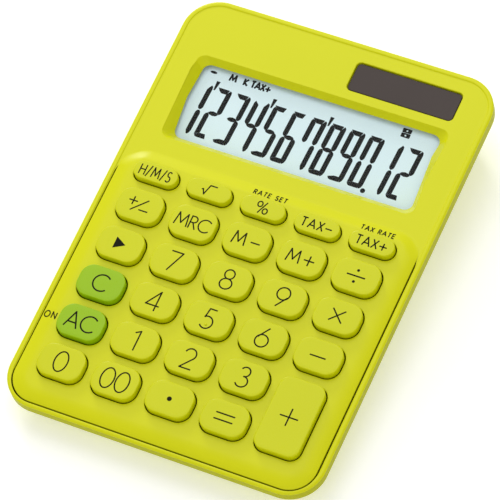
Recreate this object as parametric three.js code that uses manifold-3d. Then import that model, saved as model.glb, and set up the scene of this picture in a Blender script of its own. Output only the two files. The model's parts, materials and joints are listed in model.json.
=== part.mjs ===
// Desk calculator: a wedge-shaped case in two shells, a tilted display in a sloped recess, a solar cell,
// and 29 keys that slide square to the face onto a rubber mat over the circuit board.
// Millimetres, +Z up, +X right, +Y towards the back. The origin is under the middle of the case, on the desk.
import * as THREE from "three";
import { mergeVertices } from "three/addons/utils/BufferGeometryUtils.js";
import Module from "manifold-3d";

const wasm = await Module();
wasm.setup();

// Case
const CASE_WIDTH = 105;
const CASE_DEPTH = 149.5;
const CASE_HEIGHT = 22.8;
const CASE_CORNER = 11.5;
const FACE_TILT = THREE.MathUtils.degToRad(5);
const RIM_WIDTH = 1.9;
const RIM_HEIGHT = 0.3;
const RIM_ROUNDING = 0.8;
const PANEL_THICKNESS = 1.8;
const WALL = 2;
const BAND_FRONT = 3.2; // height of the upper shell's side below the face, at the front edge
const BAND_REAR = 4.2;
const SHELL_STEP = 0.4; // how far the lower shell's top edge stands in from the upper shell's side
const FOOT_HEIGHT = 1;
const BASE_INSET_SIDE = 6.3;
const BASE_INSET_FRONT = 3.4;
const BASE_INSET_REAR = 5.6;
const FLOOR = 1.4;
const LOWER_WALL = 1.8;
const GAP = 0.3; // between pieces that touch

// Keypad
const PAD = { left: -50.2, right: 50.2, front: -73, back: 18.7, corner: 8.5 };
const PAD_HEIGHT = 1.2;
const PAD_ROLL = 5;
const PAD_UNDERSIDE = -0.9;
const PANEL_ROOT = 0.2;
const GROOVE_WIDTH = 0.45;
const GROOVE_DEPTH = 0.5;
const GROOVE_BACK = 16;
const PITCH_X = 18.2;
const PITCH_Y = 14.19;
const KEYPAD_X = -0.3; // middle column
const ROW_FRONT_EDGE = 6.75; // front edge of the back row, the others step down by PITCH_Y
const KEY = { width: 14.8, depth: 10.7, corner: 4.1 };
const SMALL_KEY_DEPTH = 6.1;
const PILL_FLAT = 0.15; // half of the short straight stretch at each end of a small key
const TALL_KEY_CORNER = 3.4;
const KEY_TOP = 3.4;
const KEY_CLEARANCE = 0.3;
const FLANGE = { top: -1.2, thickness: 0.8, width: 1.1 };
const PLUNGER = { width: 4, low: -3.2 };

// Rubber mat and circuit board
const MAT = { width: 88, front: -66, back: 15.5, low: -5.9, high: -5.2, corner: 5 };
const DOME = { base: 3.9, top: 2.7, high: -3.5, wall: 0.6, sides: 6, lap: 0.1 };
const BOARD = { width: 90, front: -66, back: 20.5, low: -7.2, high: -6.2, corner: 6 };
const CHIP = { x: -18.5, y: -16, radius: 6, height: 1.4 };

// Display
const RECESS = { width: 85.6, depth: 31, y: 39.55, corner: 3 };
const VIEW = { width: 80.7, depth: 26.2, y: 0.6 }; // y is from the display plane's origin
const DISPLAY_TILT = THREE.MathUtils.degToRad(5);
const DISPLAY_ORIGIN = { y: 39.5, z: -3.1 };
const RECESS_WALL = 1.4;
const FILM = { x: -12, width: 53, thickness: 0.25, bend: 0.75 };
const FILM_UNDER_DISPLAY = [[28.8, 5], [30, 3.75], [33.5, 3.6]]; // y, and how far below the display plane
const DISPLAY_WINDOW = { width: 84.5, depth: 30.5, thickness: 0.8 };
const DISPLAY_GLASS = { width: 84, depth: 31, thickness: 1.6 };
const HOLDER = { width: 87.8, depth: 34.5, lipWidth: 4.6, lipThickness: 0.8, setDown: 0.3 };

// Solar cell
const SOLAR = { width: 35.9, depth: 10.5, x: 23.6, y: 63.4, corner: 1.7 };
const SOLAR_WINDOW = { sunk: 0.25, thickness: 0.65 };
const SOLAR_LEDGE = { side: 1.5, end: 1.2, corner: 1 }; // what the window rests on
const SOLAR_CELL = { width: 34.4, depth: 9.6, x: 23.2, thickness: 1.1 };
const LEAD_RADIUS = 0.5;
const LEAD_PLUS = { x: 33, y: 60.5, side: 45.6 }; // where it leaves the cell, and how far out it runs
const LEAD_MINUS = { x: 37, y: 61.8, side: 47.6 };

// Screws, in the face's frame: each post hangs from the upper shell, each well rises from the lower one
const CASE_SCREW = { headRadius: 2.1, head: 1.3, shaftRadius: 1.1, shaftTop: -3.6, seat: -9.7 };
const POST = { radius: 2.2, low: -8.4, root: 0.5 }; // the root is how far it runs into the panel
const WELL = { radius: 3.3, bore: 2.5, shelf: 1 };
const SCREW_PLACES = [
  ["case_screw_front_left", KEYPAD_X - 1.5 * PITCH_X, -37.6],
  ["case_screw_front_right", KEYPAD_X + 1.5 * PITCH_X, -37.6],
  ["case_screw_middle_left", KEYPAD_X - 1.5 * PITCH_X, 4.9],
  ["case_screw_middle_right", KEYPAD_X + 1.5 * PITCH_X, 4.9],
  ["case_screw_rear_left", -39.5, 61],
  ["case_screw_rear_middle", 1.8, 62.5],
];
const KEYPAD_SCREW_PLACES = SCREW_PLACES.filter(([, , y]) => y < BOARD.back); // these pass through the board
const BOARD_SCREW = { headRadius: 2, head: 1.1, shaftRadius: 0.9, shaftTop: -3.2 };
const BOARD_SCREW_PLACES = [
  ["board_screw_front_left", KEYPAD_X - PITCH_X / 2, -51.8],
  ["board_screw_front_right", KEYPAD_X + PITCH_X / 2, -51.8],
  ["board_screw_rear", KEYPAD_X + PITCH_X / 2, 4.9],
];
const SCREW_CLEARANCE = 0.3;

// Feet and battery, in the desk's frame
const FOOT = { radius: 4.5, pocket: 0.4 };
const FOOT_PLACES = [
  ["foot_front_left", -35, -60],
  ["foot_front_right", 35, -60],
  ["foot_rear_left", -29, 62.5],
  ["foot_rear_right", 29, 62.5],
];
const BAY = { x: -22, y: 47, width: 26, depth: 18, wall: 1.6, top: 11 };
const WELL_BOX = { x: -24.2, width: 18.4, depth: 14.8, top: 9.8 };
const DOOR_THICKNESS = 1.8;
const DOOR_SCREW = { x: -12, headRadius: 2.1, head: 0.7, shaftRadius: 0.9, top: 7 };
const CELL = { radius: 5.8, height: 5.4 };
const CONTACT = { width: 6, thickness: 0.4, leafThickness: 0.2, short: 0.5 };

// Cutting pieces that go right through start at one of these and end at the other.
const BELOW_ALL = -40;
const ABOVE_ALL = 6;
const OVERLAP = 1; // how far other pieces run into what they join or past what they cut

const CORNER_STEPS = 2; // curve setting of a small corner: four chords
const CASE_CORNER_STEPS = 4;
const ROUND_STEPS = 16;

const face_height = CASE_HEIGHT - (CASE_DEPTH / 2) * Math.sin(FACE_TILT) - RIM_HEIGHT * Math.cos(FACE_TILT);
const FACE_TO_DESK = new THREE.Matrix4()
  .makeRotationX(FACE_TILT)
  .setPosition(0, 0, face_height);

// ---------------------------------------------------------------- shapes and solids

function roundedRect(width, depth, corner, x = 0, y = 0) {
  const shape = new THREE.Shape();
  const right = x + width / 2;
  const left = x - width / 2;
  const back = y + depth / 2;
  const front = y - depth / 2;
  shape.absarc(right - corner, front + corner, corner, -Math.PI / 2, 0);
  shape.absarc(right - corner, back - corner, corner, 0, Math.PI / 2);
  shape.absarc(left + corner, back - corner, corner, Math.PI / 2, Math.PI);
  shape.absarc(left + corner, front + corner, corner, Math.PI, 1.5 * Math.PI);
  shape.closePath();
  return shape;
}

function spanRect({ left, right, front, back, corner }, grow = 0) {
  const width = right - left + 2 * grow;
  const depth = back - front + 2 * grow;
  return roundedRect(width, depth, corner + grow, (left + right) / 2, (front + back) / 2);
}

function prism(shape, low, high, curveSegments = CORNER_STEPS) {
  const geometry = new THREE.ExtrudeGeometry(shape, { depth: high - low, bevelEnabled: false, curveSegments });
  return geometry.translate(0, 0, low);
}

// A prism whose top edge is rounded over: `inset` in from the outline and `drop` down from the top.
function domedPrism(shape, low, high, inset, drop, steps, curveSegments) {
  const geometry = new THREE.ExtrudeGeometry(shape, {
    depth: high - low - 2 * drop,
    bevelEnabled: true,
    bevelThickness: drop,
    bevelSize: inset,
    bevelOffset: -inset,
    bevelSegments: steps,
    curveSegments,
  });
  return geometry.translate(0, 0, low + drop);
}

function box(x0, x1, y0, y1, z0, z1) {
  const geometry = new THREE.BoxGeometry(x1 - x0, y1 - y0, z1 - z0);
  return geometry.translate((x0 + x1) / 2, (y0 + y1) / 2, (z0 + z1) / 2);
}

function cylinder(radius, x, y, low, high, steps = ROUND_STEPS, topRadius = radius) {
  const geometry = new THREE.CylinderGeometry(topRadius, radius, high - low, steps);
  return geometry.rotateX(Math.PI / 2).translate(x, y, (low + high) / 2);
}

// Moves every vertex that `chosen` picks to where `place` puts it, which tapers or tilts one end of a prism.
function reshape(geometry, chosen, place) {
  const position = geometry.getAttribute("position");
  const point = new THREE.Vector3();
  for (let i = 0; i < position.count; i += 1) {
    point.fromBufferAttribute(position, i);
    if (chosen(point)) {
      place(point);
      position.setXYZ(i, point.x, point.y, point.z);
    }
  }
  return geometry;
}

// A strip of even thickness along a path of [y, z] points, `width` wide along X.
function strip(path, thickness, x, width) {
  const points = path.map(([y, z]) => new THREE.Vector2(y, z));
  const side = (offset) =>
    points.map((point, i) => {
      const before = points[Math.max(i - 1, 0)];
      const after = points[Math.min(i + 1, points.length - 1)];
      const along = after.clone().sub(before).normalize();
      return new THREE.Vector2(point.x - along.y * offset, point.y + along.x * offset);
    });
  const outline = [...side(-thickness / 2), ...side(thickness / 2).reverse()];
  const geometry = prism(new THREE.Shape(outline), 0, width);
  const turn = new THREE.Matrix4().makeBasis(
    new THREE.Vector3(0, 1, 0),
    new THREE.Vector3(0, 0, 1),
    new THREE.Vector3(1, 0, 0),
  );
  return geometry.applyMatrix4(turn).translate(x - width / 2, 0, 0);
}

function solid(geometry) {
  const bare = geometry.index ? geometry.toNonIndexed() : geometry.clone();
  bare.deleteAttribute("normal");
  bare.deleteAttribute("uv");
  const merged = mergeVertices(bare, 1e-4);
  const mesh = new wasm.Mesh({
    numProp: 3,
    vertProperties: merged.getAttribute("position").array,
    triVerts: new Uint32Array(merged.index.array),
  });
  return new wasm.Manifold(mesh);
}

function joined(geometries) {
  return geometries.map(solid).reduce((sum, piece) => sum.add(piece));
}

function geometryOf(manifold) {
  const { vertProperties, triVerts, numProp } = manifold.getMesh();
  const positions = new Float32Array((vertProperties.length / numProp) * 3);
  for (let i = 0; i < positions.length / 3; i += 1) {
    positions.set(vertProperties.subarray(i * numProp, i * numProp + 3), i * 3);
  }
  return new THREE.BufferGeometry()
    .setAttribute("position", new THREE.BufferAttribute(positions, 3))
    .setIndex(new THREE.BufferAttribute(triVerts, 1));
}

// ---------------------------------------------------------------- materials

function finish(color, roughness, metalness = 0, extra = {}) {
  return new THREE.MeshStandardMaterial({ color, roughness, metalness, flatShading: true, ...extra });
}

const FINISH = {
  limeCase: finish(0xd9db2a, 0.42),
  limeLower: finish(0xc3c725, 0.5),
  limeKey: finish(0xd3d629, 0.4),
  greenKey: finish(0x9dc814, 0.4),
  clear: finish(0xe8f0f0, 0.08, 0, { transparent: true, opacity: 0.3 }),
  smoked: finish(0x4a423f, 0.12),
  solarCell: finish(0x33302f, 0.25),
  displayGlass: finish(0xcfe3e6, 0.3),
  innerPlastic: finish(0x2b2c2e, 0.55),
  board: finish(0x2f6b3b, 0.45),
  silicone: finish(0x8f9496, 0.8),
  epoxy: finish(0x141414, 0.35),
  film: finish(0xb98a3e, 0.4),
  nickel: finish(0xb9bcbf, 0.28, 1),
  steel: finish(0x9a9da0, 0.35, 1),
  rubber: finish(0x4b4d4f, 0.9),
  redLead: finish(0xa82a22, 0.5),
  blackLead: finish(0x1d1d1f, 0.5),
};

// ---------------------------------------------------------------- frames

const calculator = new THREE.Group();
const face = new THREE.Group(); // origin at the middle of the face panel, +Z out of it
face.position.z = face_height;
face.rotation.x = FACE_TILT;
calculator.add(face);
const display = new THREE.Group(); // the display leans towards the user inside its recess
display.position.set(0, DISPLAY_ORIGIN.y, DISPLAY_ORIGIN.z);
display.rotation.x = DISPLAY_TILT;
face.add(display);

function place(parent, name, shape, material) {
  const geometry = shape.isBufferGeometry ? shape : geometryOf(shape);
  const mesh = new THREE.Mesh(geometry, material);
  mesh.name = name;
  parent.add(mesh);
}

// Height of the display plane in the face's frame, `below` it, at a distance y from the face's middle.
function displayHeight(y, below = 0) {
  const drop = below / Math.cos(DISPLAY_TILT);
  return DISPLAY_ORIGIN.z + (y - DISPLAY_ORIGIN.y) * Math.tan(DISPLAY_TILT) - drop;
}

function partingHeight(y) {
  const share = (y + CASE_DEPTH / 2) / CASE_DEPTH;
  return -(BAND_FRONT + share * (BAND_REAR - BAND_FRONT));
}

// ---------------------------------------------------------------- keys

const KEY_ROWS = [
  ["key_hms", "key_sqrt", "key_percent", "key_tax_minus", "key_tax_plus"],
  ["key_sign", "key_mrc", "key_m_minus", "key_m_plus", "key_divide"],
  ["key_backspace", "key_7", "key_8", "key_9", "key_multiply"],
  ["key_c", "key_4", "key_5", "key_6", "key_minus"],
  ["key_ac", "key_1", "key_2", "key_3", "key_plus"],
  ["key_0", "key_00", "key_point", "key_equals"],
];
const GREEN_KEYS = ["key_c", "key_ac"];

function keyLayout() {
  return KEY_ROWS.flatMap((row, r) =>
    row.map((name, c) => {
      const small = r === 0;
      const tall = name === "key_plus";
      const depth = small ? SMALL_KEY_DEPTH : tall ? KEY.depth + PITCH_Y : KEY.depth;
      const corner = small ? depth / 2 - PILL_FLAT : tall ? TALL_KEY_CORNER : KEY.corner;
      const frontEdge = ROW_FRONT_EDGE - PITCH_Y * (tall ? r + 1 : r);
      const x = KEYPAD_X + (c - 2) * PITCH_X;
      return { name, x, y: frontEdge + depth / 2, depth, corner };
    }),
  );
}

const KEYS = keyLayout();

function keyOutline(key, grow = 0) {
  return roundedRect(KEY.width + 2 * grow, key.depth + 2 * grow, key.corner + grow);
}

// Cap, the flange that the case holds down, and the plunger that meets the mat's dome.
function keycap(key) {
  const cap = prism(keyOutline(key), FLANGE.top - FLANGE.thickness / 2, KEY_TOP);
  const flange = prism(keyOutline(key, FLANGE.width), FLANGE.top - FLANGE.thickness, FLANGE.top, 1);
  const half = PLUNGER.width / 2;
  const plunger = box(-half, half, -half, half, PLUNGER.low, FLANGE.top - FLANGE.thickness / 2);
  return joined([cap, flange, plunger]);
}

function addKeys() {
  for (const key of KEYS) {
    const group = new THREE.Group();
    group.position.set(key.x, key.y, 0);
    face.add(group);
    place(group, key.name, keycap(key), GREEN_KEYS.includes(key.name) ? FINISH.greenKey : FINISH.limeKey);
  }
}

// ---------------------------------------------------------------- upper shell

// Sloped walls between the recess's outline on the face and the view's outline on the display plane.
// A share of 0 is at the face and 1 at the display, and the walls' lines run on past both.
function recessFunnel(grow, highShare, lowShare) {
  const { width, depth, corner, y: middle } = RECESS;
  const shape = roundedRect(width + 2 * grow, depth + 2 * grow, corner + grow, 0, middle);
  const scaleX = (VIEW.width + 2 * grow) / (RECESS.width + 2 * grow);
  const scaleY = (VIEW.depth + 2 * grow) / (RECESS.depth + 2 * grow);
  const onDisplay = new THREE.Vector3();
  return reshape(
    prism(shape, 0, 1),
    () => true,
    (point) => {
      const share = point.z > 0.5 ? highShare : lowShare;
      const y = DISPLAY_ORIGIN.y + VIEW.y + (point.y - RECESS.y) * scaleY;
      onDisplay.set(point.x * scaleX, y, displayHeight(y));
      point.z = 0;
      point.lerp(onDisplay, share);
    },
  );
}

// Cut before the pad is added, so that the pad's own side is the groove's inner wall.
function grooveCut() {
  const front = { ...PAD, back: GROOVE_BACK };
  return prism(spanRect(front, GROOVE_WIDTH), -GROOVE_DEPTH, ABOVE_ALL);
}

function belowParting() {
  return reshape(
    box(-CASE_WIDTH, CASE_WIDTH, -CASE_DEPTH, CASE_DEPTH, BELOW_ALL, 0),
    (point) => point.z === 0,
    (point) => {
      point.z = partingHeight(point.y);
    },
  );
}

function upperShell() {
  const low = -2 * BAND_REAR;
  const outline = roundedRect(CASE_WIDTH, CASE_DEPTH, CASE_CORNER);
  const block = domedPrism(outline, low, RIM_HEIGHT, RIM_ROUNDING, RIM_ROUNDING / 2, 2, CASE_CORNER_STEPS);
  const inRim = roundedRect(
    CASE_WIDTH - 2 * RIM_WIDTH,
    CASE_DEPTH - 2 * RIM_WIDTH,
    CASE_CORNER - RIM_WIDTH,
  );
  const sink = prism(inRim, 0, ABOVE_ALL, CASE_CORNER_STEPS);
  const padLow = -2 * PAD_HEIGHT - PANEL_ROOT;
  const pad = domedPrism(spanRect(PAD), padLow, PAD_HEIGHT, PAD_ROLL, PAD_HEIGHT, 3, CORNER_STEPS);
  const hollow = prism(
    roundedRect(CASE_WIDTH - 2 * WALL, CASE_DEPTH - 2 * WALL, CASE_CORNER - WALL),
    low - OVERLAP,
    -PANEL_THICKNESS,
    CASE_CORNER_STEPS,
  );
  const underPad = prism(spanRect(PAD, OVERLAP - PAD_ROLL), -PANEL_THICKNESS - OVERLAP, PAD_UNDERSIDE);
  const recessWalls = solid(recessFunnel(RECESS_WALL, 0.2, 1));
  const recessHollow = solid(recessFunnel(0, -0.6, 1.6));
  let shell = solid(block).subtract(solid(sink)).subtract(solid(grooveCut())).add(solid(pad));
  shell = shell.subtract(solid(hollow)).subtract(solid(underPad)).subtract(solid(belowParting()));
  shell = shell.add(recessWalls).subtract(recessHollow);
  for (const key of KEYS) {
    const hole = prism(keyOutline(key, KEY_CLEARANCE), -ABOVE_ALL, ABOVE_ALL).translate(key.x, key.y, 0);
    shell = shell.subtract(solid(hole));
  }
  return solarOpening(posts(shell));
}

function solarOpening(shell) {
  const { width, depth, corner, x, y } = SOLAR;
  const { side, end } = SOLAR_LEDGE;
  const pocketFloor = -SOLAR_WINDOW.sunk - SOLAR_WINDOW.thickness - GAP;
  const pocket = prism(roundedRect(width, depth, corner, x, y), pocketFloor, ABOVE_ALL);
  const opening = roundedRect(width - 2 * side, depth - 2 * end, SOLAR_LEDGE.corner, x, y);
  return shell.subtract(solid(pocket)).subtract(solid(prism(opening, -ABOVE_ALL, 0)));
}

function posts(shell) {
  const underside = (y) => (y > PAD.back ? -PANEL_THICKNESS : PAD_UNDERSIDE);
  const bore = CASE_SCREW.shaftRadius + SCREW_CLEARANCE;
  let result = shell;
  for (const [, x, y] of SCREW_PLACES) {
    result = result.add(solid(cylinder(POST.radius, x, y, POST.low, underside(y) + POST.root, 12)));
    result = result.subtract(solid(cylinder(bore, x, y, POST.low - OVERLAP, CASE_SCREW.shaftTop + GAP, 8)));
  }
  const boardBore = BOARD_SCREW.shaftRadius + SCREW_CLEARANCE;
  for (const [, x, y] of BOARD_SCREW_PLACES) {
    result = result.add(solid(cylinder(POST.radius, x, y, BOARD.high + GAP, underside(y) + POST.root, 12)));
    result = result.subtract(solid(cylinder(boardBore, x, y, BOARD.low, BOARD_SCREW.shaftTop + GAP, 8)));
  }
  return result;
}

// ---------------------------------------------------------------- lower shell, in the desk's frame

// A tub from a rounded outline at `low` up to the parting plane, `wall` inside the outer surface.
function tub(wall, low, clear) {
  const baseWidth = CASE_WIDTH - 2 * (BASE_INSET_SIDE + wall);
  const baseFront = -CASE_DEPTH / 2 + BASE_INSET_FRONT + wall;
  const baseBack = CASE_DEPTH / 2 - BASE_INSET_REAR - wall;
  const topWidth = CASE_WIDTH - 2 * (SHELL_STEP + wall);
  const topDepth = CASE_DEPTH - 2 * (SHELL_STEP + wall);
  const shape = roundedRect(topWidth, topDepth, CASE_CORNER - SHELL_STEP - wall);
  const top = new THREE.Vector3();
  return reshape(
    prism(shape, 0, 1, CASE_CORNER_STEPS),
    () => true,
    (point) => {
      if (point.z < 0.5) {
        point.x *= baseWidth / topWidth;
        point.y = (baseFront + baseBack) / 2 + (point.y * (baseBack - baseFront)) / topDepth;
        point.z = low;
      } else {
        top.set(point.x, point.y, partingHeight(point.y) - GAP + clear).applyMatrix4(FACE_TO_DESK);
        point.copy(top);
      }
    },
  );
}

function batteryBay() {
  const { x, y, width, depth, wall, top } = BAY;
  const halfX = width / 2;
  const halfY = depth / 2;
  const block = box(x - halfX - wall, x + halfX + wall, y - halfY - wall, y + halfY + wall, FOOT_HEIGHT, top);
  const seat = FOOT_HEIGHT + DOOR_THICKNESS + GAP;
  const pocket = box(x - halfX, x + halfX, y - halfY, y + halfY, 0, seat);
  const wellX = WELL_BOX.width / 2;
  const wellY = WELL_BOX.depth / 2;
  const wellLow = seat - OVERLAP;
  const well = box(WELL_BOX.x - wellX, WELL_BOX.x + wellX, y - wellY, y + wellY, wellLow, WELL_BOX.top);
  const boreHigh = DOOR_SCREW.top + OVERLAP;
  const bore = cylinder(DOOR_SCREW.shaftRadius + SCREW_CLEARANCE, DOOR_SCREW.x, y, 0, boreHigh, 8);
  return { block: solid(block), hollow: joined([pocket, well, bore]) };
}

function lowerShell() {
  const outer = solid(tub(0, FOOT_HEIGHT, 0));
  let shell = outer.subtract(solid(tub(LOWER_WALL, FOOT_HEIGHT + FLOOR, OVERLAP)));
  const bay = batteryBay();
  const wellHigh = POST.low - GAP;
  shell = shell.add(bay.block);
  for (const [, x, y] of SCREW_PLACES) {
    const tube = cylinder(WELL.radius, x, y, BELOW_ALL, wellHigh, 12).applyMatrix4(FACE_TO_DESK);
    shell = shell.add(solid(tube).intersect(outer));
  }
  for (const [, x, y] of SCREW_PLACES) {
    const well = cylinder(WELL.bore, x, y, BELOW_ALL, wellHigh - WELL.shelf, 12).applyMatrix4(FACE_TO_DESK);
    const bore = CASE_SCREW.shaftRadius + SCREW_CLEARANCE;
    const hole = cylinder(bore, x, y, wellHigh - 2 * WELL.shelf, POST.low + OVERLAP, 8);
    shell = shell.subtract(solid(well)).subtract(solid(hole.applyMatrix4(FACE_TO_DESK)));
  }
  for (const [, x, y] of FOOT_PLACES) {
    shell = shell.subtract(solid(cylinder(FOOT.radius + GAP, x, y, 0, FOOT_HEIGHT + FOOT.pocket)));
  }
  return shell.subtract(bay.hollow);
}

function addCase() {
  place(face, "front_case", upperShell(), FINISH.limeCase);
  place(calculator, "rear_case", lowerShell(), FINISH.limeLower);
}

// ---------------------------------------------------------------- display

// The display stack hangs below the recess: window, glass, and a holder whose lip carries them.
function addDisplay() {
  const windowHigh = -GAP;
  const windowLow = windowHigh - DISPLAY_WINDOW.thickness;
  const glassHigh = windowLow - GAP;
  const glassLow = glassHigh - DISPLAY_GLASS.thickness;
  const lipHigh = glassLow - GAP;
  const lipLow = lipHigh - HOLDER.lipThickness;
  const plate = ({ width, depth }, corner, low, high) =>
    prism(roundedRect(width, depth, corner, 0, VIEW.y), low, high);
  place(display, "lcd_window", plate(DISPLAY_WINDOW, 1, windowLow, windowHigh), FINISH.clear);
  place(display, "lcd_panel", plate(DISPLAY_GLASS, 0.5, glassLow, glassHigh), FINISH.displayGlass);
  const roomy = { width: DISPLAY_WINDOW.width + 2 * GAP, depth: DISPLAY_GLASS.depth + 2 * GAP };
  const lipHole = { width: HOLDER.width - 2 * HOLDER.lipWidth, depth: HOLDER.depth - 2 * HOLDER.lipWidth };
  const holder = solid(plate(HOLDER, 2, lipLow, windowHigh - HOLDER.setDown))
    .subtract(solid(plate(roomy, 1, lipHigh, ABOVE_ALL)))
    .subtract(solid(plate(lipHole, 1, lipLow - OVERLAP, 0)));
  place(display, "lcd_holder", holder, FINISH.innerPlastic);
}

// A printed film carries the display's lines from the back edge of the board, under the holder, to the glass.
function addDisplayFilm() {
  const onBoard = BOARD.high + GAP + FILM.thickness / 2;
  const bend = BOARD.back + FILM.bend;
  const [, lowest] = FILM_UNDER_DISPLAY[0];
  const path = [
    [BOARD.back - 4 * FILM.bend, onBoard],
    [bend, onBoard],
    [bend, displayHeight(bend, lowest)],
    ...FILM_UNDER_DISPLAY.map(([y, below]) => [y, displayHeight(y, below)]),
  ];
  place(face, "lcd_film", strip(path, FILM.thickness, FILM.x, FILM.width), FINISH.film);
}

// ---------------------------------------------------------------- solar cell

function addSolar() {
  const { width, depth, corner, x, y } = SOLAR;
  const outline = roundedRect(width - 2 * GAP, depth - 2 * GAP, corner - GAP, x, y);
  const high = -SOLAR_WINDOW.sunk;
  place(face, "solar_window", prism(outline, high - SOLAR_WINDOW.thickness, high), FINISH.smoked);
  const cellHigh = -PANEL_THICKNESS - GAP;
  const cellLow = cellHigh - SOLAR_CELL.thickness;
  const cell = roundedRect(SOLAR_CELL.width, SOLAR_CELL.depth, 0.4, SOLAR_CELL.x, y);
  place(face, "solar_cell", prism(cell, cellLow, cellHigh, 1), FINISH.solarCell);
  const under = cellLow - LEAD_RADIUS - GAP;
  addLead("solar_lead_plus", LEAD_PLUS, under, FINISH.redLead);
  addLead("solar_lead_minus", LEAD_MINUS, under, FINISH.blackLead);
}

// A lead runs from under the cell, down the side of the display, to the back edge of the board.
function addLead(name, { x, y, side }, z, material) {
  const onBoard = BOARD.high + GAP + LEAD_RADIUS;
  const points = [
    new THREE.Vector3(x, y, z),
    new THREE.Vector3(x + 2, y - 0.8, z),
    new THREE.Vector3(side - 1.8, y - 2.4, z - 0.2),
    new THREE.Vector3(side, y - 6.4, z - 0.4),
    new THREE.Vector3(side, 28, z - 1),
    new THREE.Vector3(side - 4, BOARD.back - 1, onBoard + GAP),
    new THREE.Vector3(side - 7, BOARD.back - 3, onBoard),
  ];
  const section = new THREE.Shape().absarc(0, 0, LEAD_RADIUS, 0, 2 * Math.PI);
  const path = new THREE.CatmullRomCurve3(points);
  const tube = new THREE.ExtrudeGeometry(section, { steps: 18, curveSegments: 3, extrudePath: path });
  place(face, name, solid(tube), material);
}

// ---------------------------------------------------------------- mat, board and what sits on it

function throughHoles(manifold, places, radius) {
  const cutter = ([, x, y]) => solid(cylinder(radius, x, y, BELOW_ALL, 0, 12));
  return places.reduce((result, spot) => result.subtract(cutter(spot)), manifold);
}

function keyMat() {
  const sheet = spanRect({ left: -MAT.width / 2, right: MAT.width / 2, ...MAT });
  let mat = solid(prism(sheet, MAT.low, MAT.high));
  for (const { x, y } of KEYS) {
    mat = mat.add(solid(cylinder(DOME.base, x, y, MAT.high - DOME.lap, DOME.high, DOME.sides, DOME.top)));
  }
  const roof = DOME.high - 2 * DOME.wall;
  for (const { x, y } of KEYS) {
    const low = MAT.low - DOME.lap;
    const inside = cylinder(DOME.base - DOME.wall, x, y, low, roof, DOME.sides, DOME.top - DOME.wall);
    mat = mat.subtract(solid(inside));
  }
  mat = throughHoles(mat, KEYPAD_SCREW_PLACES, POST.radius + GAP);
  return throughHoles(mat, BOARD_SCREW_PLACES, POST.radius + GAP);
}

function circuitBoard() {
  const outline = spanRect({ left: -BOARD.width / 2, right: BOARD.width / 2, ...BOARD });
  const sheet = solid(prism(outline, BOARD.low, BOARD.high));
  const board = throughHoles(sheet, KEYPAD_SCREW_PLACES, POST.radius + GAP);
  return throughHoles(board, BOARD_SCREW_PLACES, BOARD_SCREW.shaftRadius + SCREW_CLEARANCE);
}

function chipBlob() {
  const low = BOARD.low - GAP;
  const profile = [];
  const steps = 5;
  for (let i = 0; i <= steps; i += 1) {
    const angle = (i / steps) * (Math.PI / 2);
    profile.push(new THREE.Vector2(CHIP.radius * Math.sin(angle), -CHIP.height * Math.cos(angle)));
  }
  profile.push(new THREE.Vector2(0, 0));
  const blob = new THREE.LatheGeometry(profile, ROUND_STEPS).rotateX(Math.PI / 2);
  return solid(blob.translate(CHIP.x, CHIP.y, low));
}

function addElectronics() {
  place(face, "rubber_key_mat", keyMat(), FINISH.silicone);
  place(face, "circuit_board", circuitBoard(), FINISH.board);
  place(face, "chip_blob", chipBlob(), FINISH.epoxy);
}

// ---------------------------------------------------------------- screws, feet and battery

function screw(headRadius, head, shaftRadius, shaft) {
  return joined([cylinder(headRadius, 0, 0, -head, 0, 12), cylinder(shaftRadius, 0, 0, -head / 2, shaft, 8)]);
}

function addScrews() {
  const seat = CASE_SCREW.seat - GAP;
  for (const [name, x, y] of SCREW_PLACES) {
    const length = CASE_SCREW.shaftTop - seat;
    const shape = screw(CASE_SCREW.headRadius, CASE_SCREW.head, CASE_SCREW.shaftRadius, length);
    place(face, name, shape.translate(x, y, seat), FINISH.steel);
  }
  const boardSeat = BOARD.low - GAP;
  for (const [name, x, y] of BOARD_SCREW_PLACES) {
    const length = BOARD_SCREW.shaftTop - boardSeat;
    const shape = screw(BOARD_SCREW.headRadius, BOARD_SCREW.head, BOARD_SCREW.shaftRadius, length);
    place(face, name, shape.translate(x, y, boardSeat), FINISH.steel);
  }
}

function addFeet() {
  for (const [name, x, y] of FOOT_PLACES) {
    const high = FOOT_HEIGHT + FOOT.pocket - GAP;
    place(calculator, name, cylinder(FOOT.radius, x, y, 0, high, 20), FINISH.rubber);
  }
}

function batteryDoor() {
  const corner = 0.8;
  const outline = roundedRect(BAY.width - 2 * GAP, BAY.depth - 2 * GAP, corner, BAY.x, BAY.y);
  const headRoom = FOOT_HEIGHT + DOOR_SCREW.head + GAP;
  const bore = cylinder(DOOR_SCREW.shaftRadius + SCREW_CLEARANCE, DOOR_SCREW.x, BAY.y, 0, ABOVE_ALL, 8);
  return solid(prism(outline, FOOT_HEIGHT, FOOT_HEIGHT + DOOR_THICKNESS, 1))
    .subtract(solid(cylinder(DOOR_SCREW.headRadius + GAP, DOOR_SCREW.x, BAY.y, 0, headRoom)))
    .subtract(solid(bore));
}

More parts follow.
